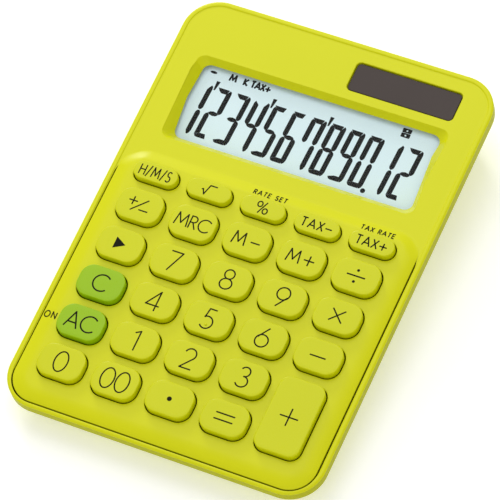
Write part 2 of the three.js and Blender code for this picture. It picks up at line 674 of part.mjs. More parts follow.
function addBattery() {
  place(calculator, "battery_door", batteryDoor(), FINISH.limeLower);
  const shaft = DOOR_SCREW.top - FOOT_HEIGHT - DOOR_SCREW.head;
  const doorScrew = screw(DOOR_SCREW.headRadius, DOOR_SCREW.head, DOOR_SCREW.shaftRadius, shaft);
  const raised = doorScrew.translate(DOOR_SCREW.x, BAY.y, FOOT_HEIGHT + DOOR_SCREW.head);
  place(calculator, "battery_door_screw", raised, FINISH.steel);
  const cellLow = FOOT_HEIGHT + DOOR_THICKNESS + GAP;
  const cellHigh = cellLow + CELL.height;
  const cell = cylinder(CELL.radius, WELL_BOX.x, BAY.y, cellLow, cellHigh, 24);
  place(calculator, "button_cell", cell, FINISH.nickel);
  const sideX = WELL_BOX.x + CELL.radius + GAP;
  const half = CONTACT.width / 2;
  const tabHigh = cellHigh - CONTACT.short;
  const tab = box(sideX, sideX + CONTACT.thickness, BAY.y - half, BAY.y + half, cellLow, tabHigh);
  place(calculator, "battery_contact_side", tab, FINISH.nickel);
  const roof = WELL_BOX.top - 2 * GAP;
  const leafPath = [
    [BAY.y - 2 * half, roof],
    [BAY.y - 2, roof],
    [BAY.y, cellHigh + 0.55],
    [BAY.y + 4, cellHigh + 0.75],
  ];
  const leaf = strip(leafPath, CONTACT.leafThickness, WELL_BOX.x, CONTACT.width);
  place(calculator, "battery_contact_top", leaf, FINISH.nickel);
}

addCase();
addDisplay();
addDisplayFilm();
addSolar();
addElectronics();
addScrews();
addFeet();
addBattery();
addKeys();

export default calculator;
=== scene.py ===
"""Looks of a wedge-shaped desk calculator: two lime shells, a sunk display, a solar strip and 29 keys."""
import json
import logging
import math
from collections.abc import Callable
from dataclasses import dataclass, field
from enum import Enum, IntEnum
from functools import cached_property
from typing import Iterable, Sequence

import bmesh
import bpy
from mathutils import Matrix, Vector


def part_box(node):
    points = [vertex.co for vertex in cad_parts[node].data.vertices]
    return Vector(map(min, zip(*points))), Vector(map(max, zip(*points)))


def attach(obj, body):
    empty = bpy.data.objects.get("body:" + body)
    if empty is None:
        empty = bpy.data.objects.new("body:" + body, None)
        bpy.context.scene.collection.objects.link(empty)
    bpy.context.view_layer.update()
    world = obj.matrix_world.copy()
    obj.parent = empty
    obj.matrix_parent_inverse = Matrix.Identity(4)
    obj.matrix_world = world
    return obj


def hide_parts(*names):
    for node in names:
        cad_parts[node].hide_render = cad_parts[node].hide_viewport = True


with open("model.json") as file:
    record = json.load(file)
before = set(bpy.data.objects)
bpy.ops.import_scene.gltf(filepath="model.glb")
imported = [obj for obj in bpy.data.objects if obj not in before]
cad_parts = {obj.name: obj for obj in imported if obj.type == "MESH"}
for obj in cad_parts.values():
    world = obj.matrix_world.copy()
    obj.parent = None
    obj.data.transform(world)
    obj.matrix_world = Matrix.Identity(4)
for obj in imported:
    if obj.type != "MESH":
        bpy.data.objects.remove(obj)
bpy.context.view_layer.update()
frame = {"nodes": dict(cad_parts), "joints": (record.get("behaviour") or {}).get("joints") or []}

LOG = logging.getLogger("calculator")
MM = 0.001
CASE_BODY = "case"
PARTING_FRONT = -3.2  # the parting plane's height on the face at the front edge, and at the back edge
PARTING_BACK = -4.2
CLEARANCE = 0.3  # between pieces that touch
Point = tuple[float, float]


# ---------------------------------------------------------------- finishes


def linear(colour: str) -> tuple[float, float, float, float]:
    """Turns an sRGB hex colour into the linear values that a shader reads.

    Args:
        colour: Six hex digits, such as "d4d622".

    Returns:
        Red, green, blue and an alpha of one.
    """
    parts = [int(colour[i:i + 2], 16) / 255 for i in (0, 2, 4)]
    red, green, blue = (p / 12.92 if p <= 0.04045 else ((p + 0.055) / 1.055) ** 2.4 for p in parts)
    return red, green, blue, 1.0


def add_node(
    tree: bpy.types.NodeTree, kind: str, settings: dict, links: dict | None = None
) -> bpy.types.Node:
    """Adds a shader node, sets it and links it.

    Args:
        tree: The material's node tree.
        kind: The node's type name.
        settings: Values by input socket name, or by attribute name where no socket has it.
        links: Output sockets by the input socket that each goes into.

    Returns:
        The new node.
    """
    node = tree.nodes.new(kind)
    for name, value in settings.items():
        if name in node.inputs:
            node.inputs[name].default_value = value
        else:
            setattr(node, name, value)
    for name, output in (links or {}).items():
        tree.links.new(output, node.inputs[name])
    return node


class Pattern(Enum):
    """How a surface was made, which settles the pattern that its finish carries."""

    MOULDED = "moulded"
    BRUSHED = "brushed"
    SPECKLED = "speckled"


@dataclass(frozen=True)
class Finish:
    """A real material with its colour, gloss and the pattern of its making."""

    name: str
    colour: str
    mottle: str
    roughness: float
    pattern: Pattern = Pattern.MOULDED
    grain_mm: float = 0.5
    bump_mm: float = 0.004
    metallic: float = 0.0
    ior: float = 1.5
    alpha: float = 1.0
    coat: float = 0.0
    specular: float = 0.5
    drift_mm: float = 45.0
    glow: float = 0.0

    def build(self) -> bpy.types.Material:
        """Returns the material, made on its first use."""
        return bpy.data.materials.get(self.name) or self.make()

    def make(self) -> bpy.types.Material:
        """Makes the material's nodes.

        Returns:
            The new material.
        """
        material = bpy.data.materials.new(self.name)
        material.use_nodes = True
        tree = material.node_tree
        tree.nodes.clear()
        place = add_node(tree, "ShaderNodeTexCoord", {})
        stretch = (1.0, 18.0, 1.0) if self.pattern is Pattern.BRUSHED else (1.0, 1.0, 1.0)
        mapping = add_node(tree, "ShaderNodeMapping", {"Scale": stretch}, {"Vector": place.outputs["Object"]})
        grain = add_node(
            tree,
            "ShaderNodeTexNoise",
            {"Scale": 1 / (self.grain_mm * MM), "Detail": 3.0, "Roughness": 0.55},
            {"Vector": mapping.outputs["Vector"]},
        )
        drift = add_node(
            tree,
            "ShaderNodeTexNoise",
            {"Scale": 1 / (self.drift_mm * MM), "Detail": 2.0},
            {"Vector": place.outputs["Object"]},
        )
        chosen = grain if self.pattern is Pattern.SPECKLED else drift
        share = add_node(
            tree,
            "ShaderNodeMapRange",
            {"From Min": 0.3, "From Max": 0.7},
            {"Value": chosen.outputs["Fac"]},
        )
        colour = add_node(tree, "ShaderNodeMix", {"data_type": "RGBA"}, {"Factor": share.outputs["Result"]})
        colour.inputs[6].default_value = linear(self.colour)
        colour.inputs[7].default_value = linear(self.mottle)
        gloss = add_node(
            tree,
            "ShaderNodeMapRange",
            {"To Min": self.roughness * 0.9, "To Max": self.roughness * 1.12},
            {"Value": grain.outputs["Fac"]},
        )
        bump = add_node(
            tree,
            "ShaderNodeBump",
            {"Strength": 0.6, "Distance": self.bump_mm * MM},
            {"Height": grain.outputs["Fac"]},
        )
        shader = add_node(
            tree,
            "ShaderNodeBsdfPrincipled",
            {
                "Metallic": self.metallic,
                "IOR": self.ior,
                "Alpha": self.alpha,
                "Coat Weight": self.coat,
                "Specular IOR Level": self.specular,
                "Emission Color": (1.0, 1.0, 1.0, 1.0),
                "Emission Strength": self.glow,
            },
            {
                "Base Color": colour.outputs[2],
                "Roughness": gloss.outputs["Result"],
                "Normal": bump.outputs["Normal"],
            },
        )
        add_node(tree, "ShaderNodeOutputMaterial", {}, {"Surface": shader.outputs["BSDF"]})
        return material


# ABS moulded against a finely eroded steel: an even satin that keeps a soft, broad highlight.
LIME_CASE = Finish("moulded_abs_lime_case", "dadb04", "d6d802", 0.32, grain_mm=0.4, specular=0.2)
# The case's side and the groove round the pad were left as the spark eroded the mould, so they are coarser;
# their darker colour is painted shade, standing in for the shade on the side and in the groove.
LIME_SIDE_PAINTED_SHADE = Finish(
    "abs_lime_case_side_painted_shade", "b5b604", "b1b302", 0.45, grain_mm=0.5, bump_mm=0.008, specular=0.1
)
LIME_LOWER = Finish("moulded_abs_lime_lower_case", "cfd206", "cbce04", 0.42, grain_mm=0.5, specular=0.25)
# Key caps come from a finer mould, so they are a little smoother and a little deeper in colour.
LIME_KEY = Finish("moulded_abs_lime_key", "d2d504", "ced202", 0.28, grain_mm=0.3, bump_mm=0.002, specular=0.2)
GREEN_KEY = Finish(
    "moulded_abs_green_key", "9cc402", "96be01", 0.28, grain_mm=0.3, bump_mm=0.002, specular=0.2
)
# Two-part screen ink: thin, dark olive and slightly matt, so the strokes don't glint.
INK = Finish("screen_printed_olive_ink", "141404", "1b1b08", 0.6, grain_mm=0.2, bump_mm=0.001, specular=0.1)
# Painted shade: the same plastic, coloured dark down in the gaps round the keys, standing in for the shade
# where little light comes out again.
PAINTED_GAP_SHADE = Finish("abs_key_gap_painted_shade", "4a4808", "403e06", 0.8, grain_mm=0.6, specular=0.05)
# Acrylic sheet, cast and polished: almost nothing shows but a faint gloss.
CLEAR_SHEET = Finish(
    "cast_acrylic_clear_window",
    "f4fafa",
    "eef7f6",
    0.06,
    ior=1.49,
    alpha=0.01,
    bump_mm=0.0,
    specular=0.1,
)
# The rear polariser and reflector under ground glass: a pale, slightly blue grey without gloss.
DISPLAY_GLASS = Finish(
    "ground_glass_display_reflector",
    "e2f6fb",
    "dcf2f7",
    0.55,
    grain_mm=0.25,
    bump_mm=0.001,
    specular=0.2,
)
# Liquid crystal that has turned: near black, and as matt as the polariser over it.
CRYSTAL = Finish(
    "turned_liquid_crystal_segment", "030404", "060708", 0.6, grain_mm=0.25, bump_mm=0.0, specular=0.1
)
# Smoke-tinted acrylic over the cell: a warm dark grey with a polished face.
SMOKED_SHEET = Finish("cast_acrylic_smoked_window", "453b37", "413733", 0.22, bump_mm=0.0005, specular=0.15)
SOLAR_FILM = Finish("amorphous_silicon_solar_film", "2c2423", "33292a", 0.2, coat=0.5, bump_mm=0.0)
# Moulded nitrile rubber: charcoal, matt and faintly pebbled.
FOOT_RUBBER = Finish("moulded_nitrile_rubber_foot", "3d3f40", "454748", 0.8, grain_mm=0.6, bump_mm=0.02)
SILICONE = Finish("moulded_silicone_key_mat", "8f9496", "9a9fa1", 0.7, grain_mm=0.8, bump_mm=0.01)
# Zinc-plated and nickel-plated steel: bright, with the fine lines of drawing and turning.
STEEL = Finish("zinc_plated_steel_screw", "a6a9ac", "8f9296", 0.3, Pattern.BRUSHED, 0.3, 0.002, metallic=1.0)
NICKEL = Finish(
    "nickel_plated_spring_steel", "c2c1bb", "aeada8", 0.22, Pattern.BRUSHED, 0.3, 0.001, metallic=1.0
)
# Glass-cloth laminate under green solder mask: a deep green with the cloth's speckle below the gloss.
BOARD = Finish("solder_masked_glass_laminate", "1f5a2d", "2f7340", 0.35, Pattern.SPECKLED, 0.9, 0.004)
EPOXY = Finish("poured_black_epoxy", "131313", "1b1a19", 0.25, grain_mm=2.0, bump_mm=0.01)
INNER_PLASTIC = Finish("moulded_polystyrene_holder", "2b2c2e", "333436", 0.5, grain_mm=0.6)
FILM = Finish("printed_polyimide_film", "b7883c", "a97b31", 0.35, Pattern.BRUSHED, 0.8, 0.002)
RED_LEAD = Finish("extruded_pvc_red_lead", "a82a22", "98241d", 0.45)
BLACK_LEAD = Finish("extruded_pvc_black_lead", "1d1d1f", "262628", 0.45)
# A sheet of opal acrylic, lit a little from below, so that shadows on it stay pale.
FLOOR = Finish("lit_opal_acrylic_floor", "f4f4f3", "f1f1f0", 0.7, grain_mm=1.5, bump_mm=0.0, glow=0.28)


# ---------------------------------------------------------------- shapes


@dataclass(frozen=True)
class Outline:
    """A rectangle with round corners, in millimetres."""

    width: float
    depth: float
    corner: float
    x: float = 0.0
    y: float = 0.0
    steps: int = 10

    def grown(self, by: float) -> "Outline":
        """Returns the outline moved outwards by a distance."""
        return Outline(
            self.width + 2 * by, self.depth + 2 * by, self.corner + by, self.x, self.y, self.steps
        )

    @classmethod
    def between(
        cls, left: float, right: float, front: float, back: float, corner: float, steps: int
    ) -> "Outline":
        """Returns the outline that spans four sides."""
        return cls(right - left, back - front, corner, (left + right) / 2, (front + back) / 2, steps)


def quarter_round(inward: float, rise: float, steps: int) -> list[Point]:
    """Rounds an edge over from a wall to a flat.

    Args:
        inward: How far the edge comes in.
        rise: How far it rises, or falls where it is negative.
        steps: How many faces the round has.

    Returns:
        The step inwards and the step up of each face.
    """
    angles = [math.pi / 2 * i / steps for i in range(steps + 1)]
    spots = [(inward * (1 - math.cos(a)), rise * math.sin(a)) for a in angles]
    return [(b[0] - a[0], b[1] - a[1]) for a, b in zip(spots, spots[1:])]


WELD = 0.002  # points of one outline closer than this become one, where two corners meet in a full round


class Shape:
    """Closed bodies in millimetres, each grown from an outline by extruding and insetting its end face."""

    def __init__(self) -> None:
        """Starts with nothing."""
        self.mesh = bmesh.new()
        self.end: bmesh.types.BMFace | None = None

    def start(self, outline: Outline, z: float) -> "Shape":
        """Lays an outline flat at a height, as the next body's first face.

        Args:
            outline: The outline.
            z: Its height.

        Returns:
            The shape.
        """
        made = bmesh.ops.create_grid(self.mesh, x_segments=1, y_segments=1, size=0.5)
        verts = made["verts"]
        bmesh.ops.scale(self.mesh, vec=(outline.width, outline.depth, 1), verts=verts)
        bmesh.ops.translate(self.mesh, vec=(outline.x, outline.y, z), verts=verts)
        corner = min(outline.corner, outline.width / 2 - WELD / 4, outline.depth / 2 - WELD / 4)
        rounded = bmesh.ops.bevel(
            self.mesh,
            geom=verts,
            offset=corner,
            offset_type="OFFSET",
            segments=outline.steps,
            profile=0.5,
            affect="VERTICES",
            material=-1,
        )
        self.end = rounded["verts"][0].link_faces[0]
        bmesh.ops.remove_doubles(self.mesh, verts=rounded["verts"], dist=WELD)
        return self

    def rise(self, height: float) -> "Shape":
        """Extrudes the end face straight up, or down where the height is negative.

        Args:
            height: How far up.

        Returns:
            The shape.
        """
        inner = [self.end] if all(edge.is_manifold for edge in self.end.edges) else []
        made = bmesh.ops.extrude_face_region(self.mesh, geom=[self.end])
        bmesh.ops.delete(self.mesh, geom=inner, context="FACES_ONLY")
        self.end = next(g for g in made["geom"] if isinstance(g, bmesh.types.BMFace))
        bmesh.ops.translate(self.mesh, verts=self.end.verts, vec=(0, 0, height))
        return self

    def inset(self, inward: float, rise: float = 0.0) -> "Shape":
        """Insets the end face, then moves it up or down.

        Args:
            inward: How far inwards.
            rise: How far up.

        Returns:
            The shape.
        """
        bmesh.ops.inset_region(
            self.mesh, faces=[self.end], thickness=inward, use_even_offset=True, use_boundary=True
        )
        bmesh.ops.translate(self.mesh, verts=self.end.verts, vec=(0, 0, rise))
        return self

    def follow(self, steps: Iterable[Point]) -> "Shape":
        """Insets the end face step by step along a profile."""
        for inward, rise in steps:
            self.inset(inward, rise)
        return self

    def prism(self, outline: Outline, low: float, high: float) -> "Shape":
        """Adds a straight body between two heights."""
        return self.start(outline, low).rise(high - low)

    def rod(self, radius: float, x: float, y: float, low: float, high: float, steps: int = 32) -> "Shape":
        """Adds a round body between two heights.

        Args:
            radius: Its radius.
            x: Its middle.
            y: Its middle.
            low: Its lower end.
            high: Its upper end.
            steps: How many sides it has.

        Returns:
            The shape.
        """
        made = bmesh.ops.create_cone(
            self.mesh,
            cap_ends=True,
            segments=steps,
            radius1=radius,
            radius2=radius,
            depth=high - low,
        )
        bmesh.ops.translate(self.mesh, vec=(x, y, (low + high) / 2), verts=made["verts"])
        return self

    def turned(self, matrix: Matrix) -> "Shape":
        """Moves everything by a matrix."""
        bmesh.ops.transform(self.mesh, matrix=matrix, verts=self.mesh.verts)
        return self

    def to_object(self, name: str, turn_out: bool = True) -> bpy.types.Object:
        """Ends the shape as an object with its faces outwards.

        Args:
            name: The object's name.
            turn_out: Whether its faces still have to be turned outwards.

        Returns:
            The object, in the scene.
        """
        if turn_out:
            bmesh.ops.recalc_face_normals(self.mesh, faces=self.mesh.faces)
        data = bpy.data.meshes.new(name)
        self.mesh.to_mesh(data)
        self.mesh.free()
        made = bpy.data.objects.new(name, data)
        bpy.context.scene.collection.objects.link(made)
        return made


class Cut(Enum):
    """What a tool body does to another body."""

    ADD = "UNION"
    REMOVE = "DIFFERENCE"
    KEEP = "INTERSECT"


def combine(base: bpy.types.Object, tool: Shape, cut: Cut) -> None:
    """Joins a tool body to an object, or cuts it from the object, and uses the tool up.

    Args:
        base: The object that is changed.
        tool: The tool's shape.
        cut: What to do.
    """
    tool_object = tool.to_object("tool")
    modifier = base.modifiers.new("cut", "BOOLEAN")
    modifier.operation = cut.value
    modifier.solver = "EXACT"
    modifier.object = tool_object
    replace_mesh(base)
    tool_data = tool_object.data
    bpy.data.objects.remove(tool_object)
    bpy.data.meshes.remove(tool_data)


def replace_mesh(made: bpy.types.Object) -> None:
    """Applies an object's modifiers to its mesh.

    Args:
        made: The object.
    """
    graph = bpy.context.evaluated_depsgraph_get()
    data = bpy.data.meshes.new_from_object(made.evaluated_get(graph))
    old = made.data
    made.modifiers.clear()
    made.data = data
    bpy.data.meshes.remove(old)


class Face:
    """The tilted face: millimetres from the middle of its display panel, +Z square out of it."""

    def __init__(self, pad_height: float) -> None:
        """Finds the face from the first key's joint and the upper shell.

        Args:
            pad_height: How far the key pad stands above the display panel.
        """
        axis = Vector(frame["joints"][0]["axis"])
        self.tilt = math.atan2(axis.y, -axis.z)
        self.to_desk = Matrix.Rotation(self.tilt, 4, "X")
        low, high = self.box("front_case")
        origin = Vector((0, (low.y + high.y) / 2, high.z - pad_height))
        self.to_desk = self.to_desk @ Matrix.Translation(origin)

    def box(self, node: str) -> tuple[Vector, Vector]:
        """Measures a CAD node square to the face.

        Args:
            node: The node's name.

        Returns:
            Its lowest and highest corners, in the face's millimetres.
        """
        to_face = self.to_desk.inverted()
        spots = [to_face @ (v.co / MM) for v in frame["nodes"][node].data.vertices]
        low = Vector(min(s[i] for s in spots) for i in range(3))
        high = Vector(max(s[i] for s in spots) for i in range(3))
        return low, high

    def middle(self, node: str) -> Vector:
        """Returns the middle of a CAD node's box, square to the face."""
        low, high = self.box(node)
        return (low + high) / 2


SMOOTH_ANGLE = math.radians(32)
PAINTED_SHADE_BELOW = 0.75  # height on the face below which a key hole's walls and a cap's sides take the painted gap shade


class Zone(IntEnum):
    """Which finish a spot of a lime piece has, in the order of its materials; GAP and SIDE take darker
    finishes that are painted shade.
    """

    OWN = 0
    GAP = 1
    SIDE = 2


def settle(
    made: bpy.types.Object,
    matrix: Matrix,
    finish: Finish,
    body: str,
    nodes: Sequence[str] = (),
    slot: str | None = None,
    large: bool = True,
    zone: Callable[[Vector], Zone] | None = None,
) -> bpy.types.Object:
    """Puts a finished piece in its place in the row frame, smooths it, and dresses it.

    Args:
        made: The piece, in millimetres.
        matrix: Takes its millimetres to the desk's.
        finish: Its finish.
        body: The body that it rides on.
        nodes: The CAD nodes that it replaces.
        slot: The record's material slot; not used.
        large: Whether its loose points are welded and its flats keep their normals beside rounds.
        zone: Gives the zone of a face by its middle; the gap and side zones take painted shade.

    Returns:
        The piece.
    """
    mesh = bmesh.new()
    mesh.from_mesh(made.data)
    # Zoned pieces are cut at this height, so the faces below it can take painted shade.
    if zone:
        parts = [*mesh.verts, *mesh.edges, *mesh.faces]
        bmesh.ops.bisect_plane(mesh, geom=parts, plane_co=(0, 0, PAINTED_SHADE_BELOW), plane_no=(0, 0, 1))
        for side in mesh.faces:
            side.material_index = zone(side.calc_center_median())
    if large:
        bmesh.ops.remove_doubles(mesh, verts=mesh.verts, dist=1e-4)
    bmesh.ops.transform(mesh, matrix=Matrix.Scale(MM, 4) @ matrix, verts=mesh.verts)
    for edge in mesh.edges:
        edge.smooth = len(edge.link_faces) == 2 and edge.calc_face_angle(0) < SMOOTH_ANGLE
    for side in mesh.faces:
        side.smooth = True
    made.data.materials.clear()
    made.data.materials.append(finish.build())
    # The second and third materials are painted shade: darker lime for the key gaps, and for the case's side
    # and the groove.
    if zone:
        made.data.materials.append(PAINTED_GAP_SHADE.build())
        made.data.materials.append(LIME_SIDE_PAINTED_SHADE.build())
    mesh.to_mesh(made.data)
    mesh.free()
    if large:
        normals = made.modifiers.new("flat_normals", "WEIGHTED_NORMAL")
        normals.keep_sharp = True
    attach(made, body)
    if nodes:
        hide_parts(*nodes)
    LOG.info("%s: %d faces, rides on %s", made.name, len(made.data.polygons), body)
    return made


# ---------------------------------------------------------------- lettering


def arc(x: float, y: float, across: float, up: float, first: float, last: float) -> tuple[Point, ...]:
    """Follows an ellipse.

    Args:
        x: Its middle.
        y: Its middle.
        across: Its half width.
        up: Its half height.
        first: The first angle, in degrees.
        last: The last angle.

    Returns:
        The points along it.
    """
    count = max(3, round(abs(last - first) / 9))
    angles = [math.radians(first + (last - first) * i / count) for i in range(count + 1)]
    return tuple((x + across * math.cos(a), y + up * math.sin(a)) for a in angles)


@dataclass(frozen=True)
class Glyph:
    """One character on a cap height of 1: strokes of even width, filled outlines and round dots."""

    width: float
    strokes: tuple[tuple[Point, ...], ...] = ()
    fills: tuple[tuple[Point, ...], ...] = ()
    dots: tuple[tuple[float, float, float], ...] = ()


GLYPHS = {
    "sign": Glyph(
        1.6,
        (
            ((0.31, 0.0), (1.29, 1.0)),
            ((-0.03, 0.71), (0.59, 0.71)),
            ((0.28, 0.4), (0.28, 1.02)),
            ((0.87, 0.17), (1.52, 0.17)),
        ),
    ),
    "0": Glyph(0.62, (arc(0.31, 0.5, 0.31, 0.5, 90, 450),)),
    "1": Glyph(0.24, (((0.0, 0.86), (0.24, 1.0), (0.24, 0.0)),)),
    "2": Glyph(0.58, (arc(0.28, 0.72, 0.27, 0.28, 165, -38) + ((0.02, 0.0), (0.58, 0.0)),)),
    "3": Glyph(
        0.56,
        (arc(0.26, 0.765, 0.225, 0.235, 155, -85) + arc(0.26, 0.27, 0.285, 0.27, 88, -152),),
    ),
    "4": Glyph(0.66, (((0.5, 0.0), (0.5, 1.0), (0.0, 0.27), (0.66, 0.27)),)),
    "5": Glyph(0.56, (((0.52, 1.0), (0.17, 1.0), (0.1, 0.56)) + arc(0.25, 0.31, 0.3, 0.31, 122, -145),)),
    "6": Glyph(0.62, (((0.46, 1.0), (0.06, 0.45)), arc(0.31, 0.31, 0.31, 0.31, 150, 510))),
    "7": Glyph(0.58, (((0.0, 1.0), (0.58, 1.0), (0.14, 0.0)),)),
    "8": Glyph(0.58, (arc(0.29, 0.76, 0.235, 0.238, 90, 450), arc(0.29, 0.265, 0.29, 0.265, 90, 450))),
    "9": Glyph(0.62, (arc(0.31, 0.69, 0.31, 0.31, -30, 330), ((0.56, 0.55), (0.16, 0.0)))),
    "A": Glyph(0.78, (((0.0, 0.0), (0.39, 1.0), (0.78, 0.0)), ((0.13, 0.33), (0.65, 0.33)))),
    "C": Glyph(0.86, (arc(0.5, 0.5, 0.5, 0.5, 44, 316),)),
    "E": Glyph(0.48, (((0.48, 1.0), (0.0, 1.0), (0.0, 0.0), (0.48, 0.0)), ((0.0, 0.52), (0.43, 0.52)))),
    "H": Glyph(0.66, (((0.0, 0.0), (0.0, 1.0)), ((0.66, 0.0), (0.66, 1.0)), ((0.0, 0.52), (0.66, 0.52)))),
    "K": Glyph(0.55, (((0.0, 0.0), (0.0, 1.0)), ((0.52, 1.0), (0.04, 0.48), (0.55, 0.0)))),
    "M": Glyph(0.96, (((0.0, 0.0), (0.14, 1.0), (0.48, 0.22), (0.82, 1.0), (0.96, 0.0)),)),
    "N": Glyph(0.7, (((0.0, 0.0), (0.0, 1.0), (0.7, 0.0), (0.7, 1.0)),)),
    "O": Glyph(0.94, (arc(0.47, 0.5, 0.47, 0.5, 90, 450),)),
    "R": Glyph(
        0.52,
        (
            ((0.0, 0.0), (0.0, 1.0)) + arc(0.22, 0.75, 0.26, 0.25, 90, -90) + ((0.0, 0.5),),
            ((0.22, 0.5), (0.52, 0.0)),
        ),
    ),
    "S": Glyph(0.5, (arc(0.26, 0.755, 0.22, 0.245, 35, 262) + arc(0.24, 0.265, 0.25, 0.265, 82, -150),)),
    "T": Glyph(0.56, (((0.0, 1.0), (0.56, 1.0)), ((0.28, 1.0), (0.28, 0.0)))),
    "X": Glyph(0.6, (((0.02, 1.0), (0.6, 0.0)), ((0.58, 1.0), (0.0, 0.0)))),
    "/": Glyph(0.4, (((0.0, -0.08), (0.4, 1.08)),)),
    "+": Glyph(0.8, (((0.0, 0.45), (0.8, 0.45)), ((0.4, 0.05), (0.4, 0.85)))),
    "-": Glyph(0.7, (((0.0, 0.45), (0.7, 0.45)),)),
    "x": Glyph(1.0, (((0.0, 0.0), (1.0, 1.0)), ((1.0, 0.0), (0.0, 1.0)))),
    "=": Glyph(1.0, (((0.0, 0.33), (1.0, 0.33)), ((0.0, 0.67), (1.0, 0.67)))),
    "divide": Glyph(1.0, (((0.0, 0.5), (1.0, 0.5)),), dots=((0.5, 0.83, 0.075), (0.5, 0.17, 0.075))),
    "percent": Glyph(
        1.0,
        (
            arc(0.2, 0.76, 0.2, 0.24, 90, 450),
            arc(0.8, 0.24, 0.2, 0.24, 90, 450),
            ((0.25, -0.05), (0.75, 1.05)),
        ),
    ),
    "root": Glyph(1.35, (((0.0, 0.42), (0.14, 0.5), (0.36, 0.0), (0.66, 1.0), (1.35, 1.0)),)),
    "arrow": Glyph(0.9, fills=(((0.0, 0.0), (0.9, 0.5), (0.0, 1.0)),)),
    "point": Glyph(0.5, dots=((0.25, 0.5, 0.25),)),
    " ": Glyph(0.3),
}


@dataclass(frozen=True)
class Legend:
    """A word or sign, with its cap height and its whole width in millimetres."""

    signs: tuple[str, ...]
    height: float
    width: float
    stroke: float = 0.46
    squeeze: float = 1.0

    @property
    def tracking(self) -> float:
        """The space between characters that gives the whole width."""
        used = sum(GLYPHS[s].width for s in self.signs) * self.height * self.squeeze
        return (self.width - used) / max(1, len(self.signs) - 1)


INK_THICKNESS = 0.05
SHARP_CORNER = math.radians(35)
KEYPAD_HALF = Vector((46.5, 40.5))
KEYPAD_MIDDLE = -28.0


def part_at_corners(stroke: Sequence[Point], lap: float) -> list[Sequence[Point]]:
    """Parts a stroke at its sharp corners, where a bent tube would pinch.

    Args:
        stroke: Its points.
        lap: How far the parts run past each corner.

    Returns:
        The parts, or the whole stroke if it bends gently.
    """
    parts, current = [], [stroke[0]]
    for before, corner, after in zip(stroke, stroke[1:], stroke[2:]):
        arriving = (Vector(corner) - Vector(before)).normalized()
        leaving = (Vector(after) - Vector(corner)).normalized()
        if arriving.angle(leaving) > SHARP_CORNER:
            parts.append([*current, tuple(Vector(corner) + arriving * lap)])
            current = [tuple(Vector(corner) - leaving * lap)]
        else:
            current.append(corner)
    return [*parts, [*current, stroke[-1]]]


def draw_strokes(strokes: Sequence[Sequence[Point]], width: float, thickness: float) -> bpy.types.Mesh:
    """Draws strokes as flat rounded lines of ink.

    Args:
        strokes: The points of each stroke, in millimetres.
        width: The strokes' width.
        thickness: The ink's thickness.

    Returns:
        A closed mesh, level with z = 0 at its middle.
    """
    curve = bpy.data.curves.new("strokes", "CURVE")
    curve.dimensions = "3D"
    curve.bevel_depth = width / 2
    curve.bevel_resolution = 1
    curve.use_fill_caps = True
    for stroke in [part for whole in strokes for part in part_at_corners(whole, 0.35 * width)]:
        closed = math.dist(stroke[0], stroke[-1]) < 1e-6
        points = stroke[:-1] if closed else stroke
        spline = curve.splines.new("POLY")
        spline.points.add(len(points) - 1)
        for point, (x, y) in zip(spline.points, points):
            point.co = (x, y, 0, 1)
        spline.use_cyclic_u = closed
    holder = bpy.data.objects.new("strokes", curve)
    bpy.context.scene.collection.objects.link(holder)
    graph = bpy.context.evaluated_depsgraph_get()
    data = bpy.data.meshes.new_from_object(holder.evaluated_get(graph))
    bpy.data.objects.remove(holder)
    bpy.data.curves.remove(curve)
    mesh = bmesh.new()
    mesh.from_mesh(data)
    bmesh.ops.remove_doubles(mesh, verts=mesh.verts, dist=1e-4)
    bmesh.ops.recalc_face_normals(mesh, faces=mesh.faces)
    bmesh.ops.scale(mesh, vec=(1, 1, thickness / width), verts=mesh.verts)
    mesh.to_mesh(data)
    mesh.free()
    return data


def draw_outline(
    mesh: bmesh.types.BMesh, points: Sequence[Point], thickness: float, soften: float = 0.0
) -> None:
    """Adds a flat filled outline to a mesh.

    Args:
        mesh: The mesh.
        points: The outline's corners, in order.
        thickness: How thick it is, half above z = 0 and half below.
        soften: How far its corners are rounded.
    """
    corners = [mesh.verts.new((x, y, -thickness / 2)) for x, y in points]
    base = mesh.faces.new(corners)
    if soften:
        made = bmesh.ops.bevel(
            mesh,
            geom=corners,
            offset=soften,
            offset_type="OFFSET",
            segments=3,
            profile=0.5,
            affect="VERTICES",
            material=-1,
        )
        base = made["verts"][0].link_faces[0]
    made = bmesh.ops.extrude_face_region(mesh, geom=[base])
    upper = [g for g in made["geom"] if isinstance(g, bmesh.types.BMVert)]
    bmesh.ops.translate(mesh, verts=upper, vec=(0, 0, thickness))
    body = {side for vert in upper for side in vert.link_faces} | {base}
    bmesh.ops.recalc_face_normals(mesh, faces=list(body))


def draw_legend(legend: Legend) -> Shape:
    """Draws a legend with its middle at the origin.

    Args:
        legend: The legend.

    Returns:
        Its ink.
    """
    strokes, left = [], -legend.width / 2
    shape = Shape()
    scale = legend.height
    across = scale * legend.squeeze
    if len(legend.signs) == 1:
        left = -GLYPHS[legend.signs[0]].width * scale / 2
    for sign in legend.signs:
        glyph = GLYPHS[sign]
        for stroke in glyph.strokes:
            strokes.append([(left + x * across, (y - 0.5) * scale) for x, y in stroke])
        for fill in glyph.fills:
            draw_outline(
                shape.mesh, [(left + x * scale, (y - 0.5) * scale) for x, y in fill], INK_THICKNESS, 0.12
            )
        for x, y, radius in glyph.dots:
            half = INK_THICKNESS / 2
            shape.rod(radius * scale, left + x * scale, (y - 0.5) * scale, -half, half, 24)
        left += glyph.width * across + legend.tracking
    if strokes:
        data = draw_strokes(strokes, legend.stroke, INK_THICKNESS)
        shape.mesh.from_mesh(data)
        bpy.data.meshes.remove(data)
    return shape


# ---------------------------------------------------------------- upper shell


